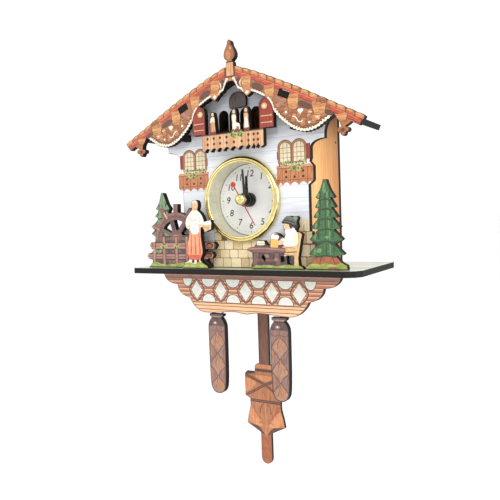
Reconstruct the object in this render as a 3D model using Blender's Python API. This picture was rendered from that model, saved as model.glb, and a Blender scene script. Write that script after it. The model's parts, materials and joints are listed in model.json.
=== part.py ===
"""A small cuckoo-style wall clock cut from printed boards, with a quartz movement and a pendulum.

Sizes are in millimetres in the clock's own frame: X to the right, Y from the front towards the
wall, Z up. Y = 0 is the facade's front face, and X = Z = 0 is the dial's centre. MM turns them into
metres as each mesh is made, and the root empty moves the whole clock so that the world origin is
the spot on the wall where the nail bears in the keyhole.
"""
import math

import bmesh
import bpy

MM = 0.001

# ---- driving dimensions ----
BOARD = 4.4               # thickness of the laser-cut boards
THIN_BOARD = 2.4          # the pendulum and the cuckoo's door
GAP = 0.3                 # clearance between faces that meet
HOUSE_DEPTH = 65.7        # facade's front face to the wall
WALL_HALF = 55.3          # half width of the facade's straight lower wall
SIDE_INSET = 1.2          # a side panel's outer face from the facade's edge
HANGER_RISE = 66.0        # top of the keyhole above the dial's centre

SHELF_HALF = 96.4
SHELF_TOP = -52.1
SHELF_FRONT = -15.9
SHELF_CORNER = 9.0        # clipped right front corner of the shelf

RIDGE_TOP = 93.4          # roof's upper face at the middle
ROOF_SLOPE = 0.44         # fall of the roof for each unit sideways
ROOF_EAVE = 88.4          # half width of the roof boards
TENON_MIDDLE = 43.5       # where a roof board's tab comes through the gable front
TENON_LENGTH = 8.0

GABLE_FRONT = -12.2       # front face of the gable front with its balcony
FINIAL_FOOT = 100.6
RAIL_BOTTOM = 36.3
RAIL_TOP = 49.6
RAIL_HALF = 26.6
FLOOR_TOP = 51.2          # upper face of the balcony floor
FLOOR_HALF = 21.0
SPACER_INNER = 45.2       # blocks that hold the gable front off the facade
SPACER_HEIGHT = 4.8
SPACER_TOP = 52.4

ARCH_HALF = 4.2           # four arched doorways behind the balcony
ARCH_PITCH = 9.5
ARCH_BOTTOM = 52.0
ARCH_SPRING = 64.2

MILL_WHEEL = (-57.0, 24.1)  # its height is above the shelf
MILL_RADIUS = 20.5
PADDLE_REACH = 27.0

BEZEL_RADIUS = 33.0
BEZEL_PROUD = 4.8         # how far the bezel stands in front of the facade
SLEEVE_RADIUS = 30.2
RECESS_RADIUS = 28.0
DIAL_FACE = 12.0          # depth of the dial behind the facade's front face
DIAL_THICK = 0.6
CUP_PLATE = 1.4           # thickness of the insert's back plate

NUT_RADIUS = 5.5
BUSH_RADIUS = 4.0
BUSH_BORE = 2.9
HOUR_TUBE = 2.5
HOUR_BORE = 2.0
MINUTE_TUBE = 1.6
MINUTE_BORE = 1.0
SECOND_ARBOR = 0.6
HOUR_HAND_FACE = 6.3
MINUTE_HAND_FACE = 3.0
SECOND_HAND_FACE = -2.4
HAND_THICK = 0.5
HUB_THICK = 1.0
HOUR_HUB = 5.6
MINUTE_HUB = 5.4
CAP_RADIUS = 4.3
CAP_HEIGHT = 3.6
HOUR_HAND_LENGTH = 18.5
MINUTE_HAND_LENGTH = 23.5
SECOND_HAND_LENGTH = 23.0
MINUTE_ANGLE = -3.5       # 11:59:25, clockwise from 12
HOUR_ANGLE = -0.3
SECOND_ANGLE = 150.0

CASE_HALF = 28.0
CASE_DEPTH = 15.0
CASE_WALL = 1.3
CASE_CORNER = 3.0
CASE_BACK = 1.2
DIVIDER_TOP = -10.9       # wall between the gears and the battery
BATTERY_RADIUS = 6.95
BATTERY_LENGTH = 50.0
BATTERY_TIP = 1.1
BAY_DEEPER = 0.6          # the battery bay's floor is thinner than the gears'
CONTACT_THICK = 0.4
BOSS_RADIUS = 2.2         # screw bosses inside the case
SCREW_INSET = 6.0
KNOB_RADIUS = 5.0
KNOB_HEIGHT = 4.0
ARBOR = 0.8
SCREW_RADIUS = 0.8
SCREW_LENGTH = 6.0
SCREW_HEAD = 1.9
STATOR_HALF = 6.2
STATOR_LIMB = 2.8
ROTOR_MAGNET = 2.6
COIL_HEIGHT = 15.2
COIL_RADIUS = 2.6

DRIVE_HALF = 20.0
DRIVE_TOP = -28.3
DRIVE_BOTTOM = -49.0
DRIVE_DEPTH = 7.6
PENDULUM_FACE = 25.8      # front face of the pendulum board
PENDULUM_TIP = -215.3
ROD_HALF = 4.8
SWING_AXIS = -33.0        # height of the pendulum's pivot
PIVOT_PIN = 0.8
MAGNET_RADIUS = 1.4
MAGNET_HEIGHT = -40.0
HOOK_HEIGHT = -45.0
SLOT_HALF = 10.5          # pendulum slot in the shelf
SLOT_MARGIN = 3.0         # slot's clearance in front of and behind the pendulum

WEIGHT_MIDDLE = 27.9
WEIGHT_FACE = 0.3
WEIGHT_DROP = 32.6        # a weight's top under the shelf's underside
WEIGHT_LENGTH = 63.8
PIVOT_DROP = 25.0         # the pins of the weights' brackets under the shelf's underside
WIRE = 0.7                # radius of the weights' wire hooks
BRACKET_PIN = 0.8
BRACKET_REACH = 4.6       # how far a bracket's pin stands behind the apron

KEYHOLE_ROUND = 4.5
KEYHOLE_SLOT = 2.0
KEYHOLE_DROP = 8.0        # middle of the round hole below the slot's middle
SERVICE_HALF = 31.0       # opening behind the movement
SERVICE_TOP = 32.0
SERVICE_BOTTOM = -46.0

# ---- places that follow from the sizes above ----
ROOF_ANGLE = math.atan(ROOF_SLOPE)
GABLE_BACK = GABLE_FRONT + BOARD
SIDE_OUTER = WALL_HALF - SIDE_INSET
BOARD_BEHIND = BOARD + GAP
FOOT = SHELF_TOP + GAP
SHELF_UNDER = SHELF_TOP - BOARD
WEIGHT_TOP = SHELF_UNDER - WEIGHT_DROP
WEIGHT_BOTTOM = WEIGHT_TOP - WEIGHT_LENGTH
WEIGHT_PIVOT = SHELF_UNDER - PIVOT_DROP
SCENERY_BACK = -(BEZEL_PROUD + 0.5)
SCENERY_FACE = SCENERY_BACK - BOARD
WOMAN_FACE = SCENERY_FACE - GAP - BOARD
CUP_INSIDE = DIAL_FACE + DIAL_THICK + GAP
CUP_BACK = CUP_INSIDE + CUP_PLATE
CASE_FACE = CUP_BACK + GAP
CASE_INSIDE = CASE_FACE + CASE_BACK
CASE_REAR = CASE_FACE + CASE_DEPTH
COVER_FACE = CASE_REAR + GAP
COVER_REAR = COVER_FACE + CASE_BACK
DRIVE_REAR = CASE_FACE + DRIVE_DEPTH
HANGER_FACE = DRIVE_REAR + GAP

# Gear trains: distances between axes, and the modules and places that they give
GOING_REACH = 11.5        # second pinion to third wheel, and third pinion to centre wheel
MIDDLE_REACH = 11.7
ROTOR_REACH = 9.45
MINUTE_REACH = 8.8
MODULES = {"second_third": GOING_REACH * 2 / 51, "third_centre": GOING_REACH * 2 / 54,
           "middle_second": MIDDLE_REACH * 2 / 36, "rotor_middle": ROTOR_REACH * 2 / 42,
           "cannon_minute": MINUTE_REACH * 2 / 32, "minute_hour": MINUTE_REACH * 2 / 30}


def beyond(start, reach, degrees):
    a = math.radians(degrees)
    return (start[0] + reach * math.cos(a), start[1] + reach * math.sin(a))


CENTRE_AXIS = (0.0, 0.0)
THIRD_AXIS = beyond(CENTRE_AXIS, GOING_REACH, 150)
MIDDLE_AXIS = beyond(CENTRE_AXIS, MIDDLE_REACH, 25)
ROTOR_AXIS = beyond(MIDDLE_AXIS, ROTOR_REACH, -10)
MINUTE_AXIS = beyond(CENTRE_AXIS, MINUTE_REACH, 90)
KNOB_AXIS = beyond(MINUTE_AXIS, MINUTE_REACH, 70)
WHEEL_THICK = 0.8
LAYER_HOUR = CASE_INSIDE + 0.6
LAYER_MINUTE = LAYER_HOUR + 1.3
LAYER_CENTRE = LAYER_MINUTE + 1.4
LAYER_THIRD = LAYER_CENTRE + 2.0
LAYER_SECOND = LAYER_THIRD + 1.8
LAYER_MIDDLE = LAYER_SECOND + 1.8
PLATE_FACE = LAYER_MIDDLE + 3.4
PLATE_THICK = 0.8
STATOR_FACE = LAYER_MIDDLE + 1.5
COIL_HALF = STATOR_HALF - STATOR_LIMB - GAP

# Gear teeth: heights as shares of the module, half widths as shares of the pitch
ADDENDUM = 0.7
DEDENDUM = 0.95
TIP_SHARE = 0.08
ROOT_SHARE = 0.23

HAND = {-1: "left", 1: "right"}
FRAMES = {}


# ---- building blocks ----
def clear_scene():
    for obj in list(bpy.data.objects):
        bpy.data.objects.remove(obj, do_unlink=True)


def finish(name, colour, roughness=0.6, metallic=0.0):
    """The material of that name, made once."""
    known = bpy.data.materials.get(name)
    if known:
        return known
    made = bpy.data.materials.new(name)
    made.use_nodes = True
    shader = made.node_tree.nodes["Principled BSDF"]
    shader.inputs["Base Color"].default_value = (*colour, 1.0)
    shader.inputs["Roughness"].default_value = roughness
    shader.inputs["Metallic"].default_value = metallic
    return made


PRINTED_WALL = ("printed_wall", (0.78, 0.80, 0.84), 0.45)
PRINTED_GABLE = ("printed_gable", (0.55, 0.28, 0.13), 0.5)
PRINTED_SCENE = ("printed_scene", (0.35, 0.27, 0.22), 0.5)
PRINTED_GREEN = ("printed_green", (0.10, 0.26, 0.12), 0.5)
PRINTED_APRON = ("printed_apron", (0.58, 0.34, 0.20), 0.5)
PRINTED_CONE = ("printed_cone", (0.30, 0.19, 0.14), 0.5)
PRINTED_PENDULUM = ("printed_pendulum", (0.58, 0.28, 0.12), 0.5)
WARM_WOOD = ("warm_wood", (0.72, 0.42, 0.18), 0.5)
DARK_BOARD = ("dark_board", (0.03, 0.03, 0.03), 0.6)
GREEN_TOP = ("green_top", (0.07, 0.11, 0.07), 0.5)
GOLD = ("gold_plating", (0.83, 0.68, 0.36), 0.18, 1.0)
DIAL_WHITE = ("dial_white", (0.85, 0.86, 0.84), 0.4)
HAND_BLACK = ("hand_black", (0.02, 0.02, 0.02), 0.4)
HAND_RED = ("hand_red", (0.6, 0.05, 0.04), 0.4)
CASE_PLASTIC = ("case_plastic", (0.05, 0.05, 0.055), 0.5)
GEAR_PLASTIC = ("gear_plastic", (0.75, 0.74, 0.68), 0.45)
STEEL = ("steel", (0.6, 0.6, 0.6), 0.3, 1.0)
COPPER = ("copper_wire", (0.72, 0.35, 0.18), 0.35, 1.0)
CIRCUIT = ("circuit_green", (0.05, 0.25, 0.12), 0.4)
BATTERY_SKIN = ("battery_skin", (0.12, 0.14, 0.18), 0.35)
RUBBER = ("soft_black", (0.02, 0.02, 0.02), 0.8)


def frame(name, place, parent=None):
    """An empty at a place in the clock's frame, for pieces to hang from."""
    empty = bpy.data.objects.new(name, None)
    bpy.context.collection.objects.link(empty)
    base = FRAMES[parent][1] if parent else (0, HOUSE_DEPTH, HANGER_RISE)
    empty.location = [(a - b) * MM for a, b in zip(place, base)]
    if parent:
        empty.parent = FRAMES[parent][0]
    FRAMES[name] = (empty, place)


def add(name, bm, look, pivot=(0, 0, 0), parent="clock_frame", turn=(0, 0, 0)):
    """An object whose mesh is in millimetres about its pivot."""
    bmesh.ops.scale(bm, vec=(MM, MM, MM), verts=bm.verts)
    bmesh.ops.recalc_face_normals(bm, faces=bm.faces)
    mesh = bpy.data.meshes.new(name)
    bm.to_mesh(mesh)
    bm.free()
    mesh.materials.append(finish(*look))
    mesh.shade_smooth()
    mesh.set_sharp_from_angle(angle=math.radians(35))
    obj = bpy.data.objects.new(name, mesh)
    bpy.context.collection.objects.link(obj)
    empty, base = FRAMES[parent]
    obj.parent = empty
    obj.location = [(a - b) * MM for a, b in zip(pivot, base)]
    obj.rotation_euler = turn
    return obj


def extruded(outline, front, thick, holes=(), plane="xz"):
    """A flat board: its outline and holes in a plane, extruded along the third axis."""
    bm = bmesh.new()
    order = {"xz": lambda a, b, c: (a, c, b), "yz": lambda a, b, c: (c, a, b),
             "xy": lambda a, b, c: (a, b, c)}
    to_space = order[plane]
    edges = []
    for loop in (outline, *holes):
        verts = [bm.verts.new(to_space(a, b, front)) for a, b in loop]
        edges += [bm.edges.new(pair) for pair in zip(verts, verts[1:] + verts[:1])]
    bmesh.ops.triangle_fill(bm, use_beauty=True, edges=edges)
    swept = bmesh.ops.extrude_face_region(bm, geom=bm.faces[:])
    moved = [item for item in swept["geom"] if isinstance(item, bmesh.types.BMVert)]
    bmesh.ops.translate(bm, vec=to_space(0, 0, thick), verts=moved)
    return bm


def board(name, outline, front, look, holes=(), thick=None, pivot=(0, 0, 0), parent="clock_frame"):
    """A board that faces the front, drawn in the clock's frame."""
    shift = [[(x - pivot[0], z - pivot[2]) for x, z in loop] for loop in (outline, *holes)]
    bm = extruded(shift[0], front - pivot[1], BOARD if thick is None else thick, shift[1:])
    return add(name, bm, look, pivot, parent)


def turned(profile, segments):
    """A body turned about Y from (radius, y) points, a closed loop unless it ends on the axis."""
    bm = bmesh.new()
    verts = [bm.verts.new((radius, y, 0)) for radius, y in profile]
    pairs = list(zip(verts, verts[1:]))
    if profile[0][0] > 0:
        pairs.append((verts[-1], verts[0]))
    edges = [bm.edges.new(pair) for pair in pairs]
    bmesh.ops.spin(bm, geom=verts + edges, cent=(0, 0, 0), axis=(0, 1, 0), dvec=(0, 0, 0),
                   angle=2 * math.pi, steps=segments, use_merge=True)
    bmesh.ops.remove_doubles(bm, verts=bm.verts, dist=0.0001)
    return bm


def disc(front, rear, radius, segments=24):
    return turned([(0, front), (radius, front), (radius, rear), (0, rear)], segments)


def tube(front, rear, bore, radius, segments=24):
    return turned([(bore, front), (radius, front), (radius, rear), (bore, rear)], segments)


def block(low, high):
    bm = bmesh.new()
    bmesh.ops.create_cube(bm, size=1.0)
    size = [b - a for a, b in zip(low, high)]
    middle = [(a + b) / 2 for a, b in zip(low, high)]
    bmesh.ops.scale(bm, vec=size, verts=bm.verts)
    bmesh.ops.translate(bm, vec=middle, verts=bm.verts)
    return bm


def joined(bodies):
    """Several separate solids in one mesh, as the tool of one Boolean."""
    whole = bmesh.new()
    for part in bodies:
        mesh = bpy.data.meshes.new("part")
        part.to_mesh(mesh)
        part.free()
        whole.from_mesh(mesh)
        bpy.data.meshes.remove(mesh)
    return whole


def moved(bm, shift):
    bmesh.ops.translate(bm, vec=shift, verts=bm.verts)
    return bm


def combine(target, operation, bm, label):
    """Joins a tool body to the target, or cuts it away, with a Boolean modifier."""
    tool = add(f"{target.name}_{label}", bm, STEEL)
    tool.parent = target.parent
    tool.location = target.location
    tool.rotation_euler = target.rotation_euler
    tool.hide_render = True
    tool.display_type = "WIRE"
    change = target.modifiers.new(label, "BOOLEAN")
    change.operation = operation
    change.solver = "EXACT"
    change.object = tool
    return target


# ---- outline helpers, all in the X-Z plane ----
def mirrored(points):
    return [(-x, z) for x, z in reversed(points)]


def shifted(points, x, z=0.0):
    return [(a + x, b + z) for a, b in points]


def arc(x, z, radius, start, end, steps):
    turns = [math.radians(start + (end - start) * step / steps) for step in range(steps + 1)]
    return [(x + radius * math.cos(a), z + radius * math.sin(a)) for a in turns]


def circle(x, z, radius, steps):
    return arc(x, z, radius, 0, 360 * (steps - 1) / steps, steps - 1)


def quarter(start, end, steps):
    """A quarter ellipse that leaves the start upright and reaches the end level."""
    (x0, z0), (x1, z1) = start, end
    turns = [math.pi / 2 * step / steps for step in range(steps + 1)]
    return [(x1 - (x1 - x0) * math.cos(a), z0 + (z1 - z0) * math.sin(a)) for a in turns]


def smooth(points, steps=3):
    """A Catmull-Rom curve through the points."""
    padded = [points[0], *points, points[-1]]
    curve = []
    for a, b, c, d in zip(padded, padded[1:], padded[2:], padded[3:]):
        for step in range(steps):
            t = step / steps
            curve.append(tuple(
                0.5 * (2 * q + (r - p) * t + (2 * p - 5 * q + 4 * r - s) * t ** 2
                       + (3 * q - p - 3 * r + s) * t ** 3)
                for p, q, r, s in zip(a, b, c, d)))
    return curve + [points[-1]]


def scalloped(points, count, depth, steps=3):
    """A smooth curve with round bumps that stand out on the right of its direction."""
    curve = smooth(points, 12)
    reach = [0.0]
    for a, b in zip(curve, curve[1:]):
        reach.append(reach[-1] + math.dist(a, b))
    edge = []
    index = 0
    for k in range(count * steps + 1):
        along = reach[-1] * k / (count * steps)
        while index < len(curve) - 2 and reach[index + 1] < along:
            index += 1
        (x0, z0), (x1, z1) = curve[index], curve[index + 1]
        span = reach[index + 1] - reach[index]
        t = (along - reach[index]) / span
        bulge = depth * abs(math.sin(math.pi * k / steps))
        edge.append((x0 + (x1 - x0) * t + (z1 - z0) / span * bulge,
                     z0 + (z1 - z0) * t - (x1 - x0) / span * bulge))
    return edge


def rounded_box(left, bottom, right, top, radius, steps=3):
    return (arc(right - radius, bottom + radius, radius, -90, 0, steps)
            + arc(right - radius, top - radius, radius, 0, 90, steps)
            + arc(left + radius, top - radius, radius, 90, 180, steps)
            + arc(left + radius, bottom + radius, radius, 180, 270, steps))


def roof_top(x):
    return RIDGE_TOP - ROOF_SLOPE * abs(x)


def roof_under(x):
    return roof_top(x) - BOARD / math.cos(ROOF_ANGLE)


def tenon_outline(side, margin):
    """The roof tab's section where it passes through the gable front."""
    along, across = TENON_LENGTH / 2 + margin, BOARD / 2 + margin
    middle_z = (roof_top(TENON_MIDDLE) + roof_under(TENON_MIDDLE)) / 2
    c, s = math.cos(ROOF_ANGLE), math.sin(ROOF_ANGLE)
    corners = [(-along, -across), (along, -across), (along, across), (-along, across)]
    return [(side * (TENON_MIDDLE + a * c + b * s), middle_z - a * s + b * c) for a, b in corners]


# ---- the house ----
def facade_side(stone_foot):
    """The facade's right edge from the shelf up to the ridge."""
    tip = (77.2, roof_under(77.2) - GAP)
    steps = [(6.7, 8.6), (4.1, 18.1), (1.9, 26.9)] if stone_foot else []
    foot, low = [], FOOT
    for reach, rise in steps:
        foot += [(WALL_HALF + reach, low), (WALL_HALF + reach, SHELF_TOP + rise)]
        low = SHELF_TOP + rise
    foot.append((WALL_HALF, low))
    flower_box = [(WALL_HALF, 8.2), (WALL_HALF + 3.9, 11.2), (WALL_HALF + 4.0, 21.5),
                  (WALL_HALF + 2.3, 23.6), (WALL_HALF + 1.1, 24.8), (WALL_HALF + 2.0, 27.5)]
    corbel = quarter((WALL_HALF + 2.0, 34.6), (WALL_HALF + 13.1, 40.2), 6)
    corbel += quarter((WALL_HALF + 13.1, 43.2), tip, 6)
    return foot + flower_box + corbel + [(0, roof_under(0) - GAP)]


def arched_hole(middle):
    return ([(middle - ARCH_HALF, ARCH_BOTTOM), (middle + ARCH_HALF, ARCH_BOTTOM)]
            + arc(middle, ARCH_SPRING, ARCH_HALF, 0, 180, 8))


def facade():
    outline = facade_side(True) + mirrored(facade_side(False))[1:]
    holes = [circle(0, 0, SLEEVE_RADIUS + GAP, 48)]
    holes += [arched_hole(ARCH_PITCH * step) for step in (-1.5, -0.5, 0.5, 1.5)]
    board("facade", outline, 0, PRINTED_WALL, holes)


def side_panel(side):
    top = roof_under(SIDE_OUTER) - GAP
    rear = HOUSE_DEPTH - BOARD - GAP
    outline = [(BOARD_BEHIND, FOOT), (rear, FOOT), (rear, top), (BOARD_BEHIND, top)]
    hole = circle(rear - 4.2, top - 21.0, 1.1, 8)
    inner = SIDE_OUTER - BOARD
    bm = extruded(outline, inner if side > 0 else -SIDE_OUTER, BOARD, [hole], plane="yz")
    add(f"side_panel_{HAND[side]}", bm, WARM_WOOD)


def back_panel():
    half = SIDE_OUTER
    slot = HANGER_RISE - KEYHOLE_SLOT
    neck = math.degrees(math.asin(KEYHOLE_SLOT / KEYHOLE_ROUND))
    keyhole = (arc(0, slot - KEYHOLE_DROP, KEYHOLE_ROUND, 90 + neck, 450 - neck, 16)
               + arc(0, slot, KEYHOLE_SLOT, 0, 180, 8))
    service = rounded_box(-SERVICE_HALF, SERVICE_BOTTOM, SERVICE_HALF, SERVICE_TOP, 4.0)
    outline = [(half, FOOT), (half, roof_under(half) - GAP), (0, roof_under(0) - GAP),
               (-half, roof_under(half) - GAP), (-half, FOOT)]
    board("back_panel", outline, HOUSE_DEPTH - BOARD, WARM_WOOD, [keyhole, service])


def shelf():
    half, corner = SHELF_HALF, SHELF_CORNER
    outline = [(-half, SHELF_FRONT), (half - corner, SHELF_FRONT),
               (half - corner / 3, SHELF_FRONT + corner / 3), (half, SHELF_FRONT + corner),
               (half, HOUSE_DEPTH), (-half, HOUSE_DEPTH)]
    slot = rounded_box(-SLOT_HALF, PENDULUM_FACE - SLOT_MARGIN, SLOT_HALF,
                       PENDULUM_FACE + THIN_BOARD + SLOT_MARGIN, 2.0)
    add("shelf", extruded(outline, SHELF_UNDER, BOARD, [slot], plane="xy"), GREEN_TOP)


def roof_board(side):
    """One roof board in its own plane, tilted about the ridge, with a tab at its front edge."""
    c, s = math.cos(ROOF_ANGLE), math.sin(ROOF_ANGLE)
    ridge_end = GAP / 2 / c
    eave_end = ROOF_EAVE / c
    tab_middle = (TENON_MIDDLE + s * BOARD / 2) / c
    front = GABLE_BACK + GAP
    tab = [(tab_middle - TENON_LENGTH / 2, front), (tab_middle - TENON_LENGTH / 2, GABLE_FRONT),
           (tab_middle + TENON_LENGTH / 2, GABLE_FRONT), (tab_middle + TENON_LENGTH / 2, front)]
    outline = [(ridge_end, front), *tab, (eave_end, front), (eave_end, HOUSE_DEPTH),
               (ridge_end, HOUSE_DEPTH)]
    bm = extruded([(side * a, b) for a, b in outline], -BOARD, BOARD, plane="xy")
    for vert in bm.verts:
        if abs(vert.co.x) < 2 * ridge_end and vert.co.z < -BOARD / 2:
            vert.co.x = side * (ridge_end + BOARD * math.tan(ROOF_ANGLE))
    add(f"roof_board_{HAND[side]}", bm, DARK_BOARD, pivot=(0, 0, RIDGE_TOP), turn=(0, side * ROOF_ANGLE, 0))


def rail_teeth():
    """Pointed teeth under the balcony rail, closer together where the drawn bay turns away."""
    tips = [-24.6, -18.9, -13.3, -7.8, -1.7, 5.0, 11.5, 16.6, 20.2, 23.7]
    edge = [(-RAIL_HALF, RAIL_BOTTOM + 1.6)]
    for left, right in zip(tips, tips[1:]):
        for step in range(6):
            lift = 2.6 * math.sin(math.pi * step / 6) ** 0.8
            edge.append((left + (right - left) * step / 6, RAIL_BOTTOM + lift))
    return edge + [(tips[-1], RAIL_BOTTOM), (RAIL_HALF, RAIL_BOTTOM + 1.6)]


def scroll_pendant():
    """The cut scroll under each eave, drawn for the right side from its inner neck outwards."""
    return ([(82.6, 50.2), (84.7, 47.4), (85.2, 45.0)] + arc(83.9, 42.5, 1.7, 60, 290, 7)
            + arc(86.7, 40.2, 1.8, 175, 365, 7) + arc(89.5, 42.5, 1.7, -110, 120, 7)
            + [(88.8, 44.8), (90.9, 45.8), (92.7, 47.1), (98.0, 44.2)])


def gable_side():
    """The gable front's right edge from the balcony shutter up to the finial's tip."""
    shutter = [(RAIL_HALF, RAIL_TOP + 0.2), (35.0, RAIL_TOP + 0.2), (35.2, 60.8)]
    lobe = scalloped([(35.5, 61.4), (38.0, 57.9), (43.0, 52.8), (49.0, 48.2), (55.0, 45.2),
                      (61.0, 44.4), (67.0, 45.6), (73.0, 48.8), (80.3, 53.6)], 19, 0.7)
    top = [(x, roof_top(x) + rise) for x, rise in
           ((102.4, 1.2), (80.0, 3.1), (50.0, 5.5), (20.0, 6.3), (3.3, 5.2))]
    tiles = scalloped(top, 15, 0.7, 4)
    finial = [(3.1, FINIAL_FOOT), (2.0, FINIAL_FOOT + 0.8)]
    finial += smooth([(2.2, FINIAL_FOOT + 1.1), (4.3, FINIAL_FOOT + 3.1), (4.8, FINIAL_FOOT + 6.1),
                      (3.6, FINIAL_FOOT + 9.5), (1.9, FINIAL_FOOT + 12.5), (1.5, FINIAL_FOOT + 14.9),
                      (0, FINIAL_FOOT + 16.3)])
    return shutter + lobe + scroll_pendant() + tiles + finial


def gable_window():
    """The opening between the shutters, with the three painted figures standing on the rail."""
    figures = [(-19.2, RAIL_TOP), (-19.3, 59.5), (-18.7, 64.4), (-17.1, 66.5), (-15.5, 65.7),
               (-14.7, 62.0), (-14.3, 56.0), (-13.8, 52.0), (-13.8, RAIL_TOP),
               (-1.2, RAIL_TOP), (-0.6, 50.9), (0.5, 51.8), (0.2, 58.0), (0.0, 62.0), (0.7, 66.7),
               (3.7, 66.7), (4.6, 63.2), (4.3, 59.2), (4.4, 57.2), (5.4, 56.2), (7.2, 55.4),
               (7.7, 53.2), (7.5, 51.3), (8.9, 50.8), (9.4, RAIL_TOP),
               (10.4, RAIL_TOP), (9.9, 53.2), (10.7, 57.2), (10.4, 62.0), (10.9, 66.4),
               (13.4, 67.1), (14.6, 65.0), (14.7, 58.4), (15.3, 53.6), (15.3, RAIL_TOP)]
    shutter_edge = 23.4
    border = [(shutter_edge, RAIL_TOP)] + quarter_in(shutter_edge, 65.6, 27.4, 71.0)
    border += scalloped([(28.4, 71.8), (25.0, 73.5), (21.5, 75.5), (18.0, 77.0)], 4, -0.6)
    border += [(16.8, 75.7), (13.8, 74.0), (11.2, 76.4)]
    border += scalloped([(11.0, 77.0), (8.6, 79.1), (5.8, 80.9)], 2, -0.6)
    border += [(4.9, 83.2), (3.5, 85.5), (1.8, 86.5)]
    return figures + border + [(0, 86.8)] + mirrored(border)


def quarter_in(x0, z0, x1, z1):
    """The shutter's round inner shoulder, upright at its foot."""
    return [(x0, z0)] + quarter((x0, z0), (x1, z1), 4)[1:]


def gable_front():
    right = gable_side()
    outline = rail_teeth() + right + mirrored(right)[1:]
    slots = [tenon_outline(side, GAP) for side in (-1, 1)]
    board("gable_front", outline, GABLE_FRONT, PRINTED_GABLE, [gable_window(), *slots])


def balcony_floor():
    bm = block((-FLOOR_HALF, GABLE_BACK + GAP, FLOOR_TOP - BOARD), (FLOOR_HALF, -GAP, FLOOR_TOP))
    add("balcony_floor", bm, DARK_BOARD)


def gable_spacer(side):
    low = side * (SPACER_INNER + BOARD / 2) - BOARD / 2
    bm = block((low, GABLE_BACK + GAP, SPACER_TOP - SPACER_HEIGHT), (low + BOARD, -GAP, SPACER_TOP))
    add(f"gable_spacer_{HAND[side]}", bm, DARK_BOARD)


def cuckoo_door():
    half = smooth([(6.8, 68.9), (7.4, 71.5), (7.3, 75.5), (6.0, 78.2), (3.6, 80.0), (0, 80.6)], 2)
    outline = half + mirrored(half)[1:]
    board("cuckoo_door", outline, -THIN_BOARD - GAP, PRINTED_CONE, thick=THIN_BOARD)


def apron():
    """Heights are measured from the shelf's underside."""
    half = smooth([(0, -31.7), (4.0, -31.2), (9.0, -30.4), (15.0, -30.5), (22.0, -31.0),
                   (30.0, -31.7), (37.4, -31.9), (42.5, -30.9), (47.2, -28.0), (51.0, -23.7),
                   (52.6, -20.7)], 2)
    half += smooth([(54.6, -20.0), (58.4, -18.8), (61.6, -16.6), (63.9, -13.5), (64.8, -10.0)], 2)
    half += smooth([(67.2, -9.7), (71.2, -8.9), (75.0, -6.7), (77.4, -3.7), (78.3, -GAP)], 2)
    board("apron", shifted(half + mirrored(half)[:-1], 0, SHELF_UNDER), 0, PRINTED_APRON)


# ---- the boards that stand on the shelf, with heights measured from its top ----
def stand(name, outline, face, look, holes=()):
    board(name, shifted(outline, 0, SHELF_TOP), face, look, [shifted(hole, 0, SHELF_TOP) for hole in holes])


def wheel_window(start, end):
    """An opening between two spokes of the mill wheel."""
    middle = (start + end) / 2
    x, z = MILL_WHEEL
    return arc(x, z, 14.2, start, end, 4) + arc(x, z, 6.4, middle + 7, middle - 7, 1)


def mill_scenery():
    x, z = MILL_WHEEL
    rim = []
    start = -9.0
    for paddle in (22.0, 55.0, 88.5):
        rim += arc(x, z, MILL_RADIUS, start, paddle - 6, 4)
        rim += arc(x, z, PADDLE_REACH, paddle - 4.6, paddle + 4.6, 1)
        start = paddle + 6
    rim += arc(x, z, MILL_RADIUS, start, 106, 1)
    outline = [(-86.0, GAP), (-24.6, GAP), (-25.4, 3.5), (-28.5, 5.7), (-27.0, 7.7),
               (-23.0, 7.9), (-21.4, 10.3), (-23.0, 12.9), (-29.5, 13.2), (-29.5, 14.7),
               (-21.0, 14.9), (-18.9, 17.7), (-21.0, 20.5), (-34.0, 20.7)]
    outline += rim
    outline += [(-63.8, 44.9), (-62.0, 47.3)]
    outline += smooth([(-65.0, 51.6), (-66.8, 56.1), (-68.4, 60.3)], 2)
    outline += smooth([(-70.3, 60.6), (-71.6, 56.1), (-73.4, 51.8), (-76.4, 47.8)], 2)
    outline += [(-73.6, 46.2), (-75.0, 44.1), (-77.6, 41.9), (-74.4, 39.7), (-77.0, 36.6),
                (-81.8, 33.5), (-78.2, 30.7), (-81.6, 27.7), (-77.8, 25.1), (-78.2, 21.1),
                (-82.6, 20.5), (-84.0, 18.1), (-82.0, 15.1), (-80.0, 14.7), (-82.3, 12.3),
                (-85.6, 11.5), (-87.0, 9.1), (-84.4, 6.9), (-81.5, 6.5), (-82.0, 3.5)]
    holes = [wheel_window(*span) for span in ((8, 43), (61, 96), (114, 147))]
    stand("mill_scenery", outline, SCENERY_FACE, PRINTED_SCENE, holes)


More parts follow.
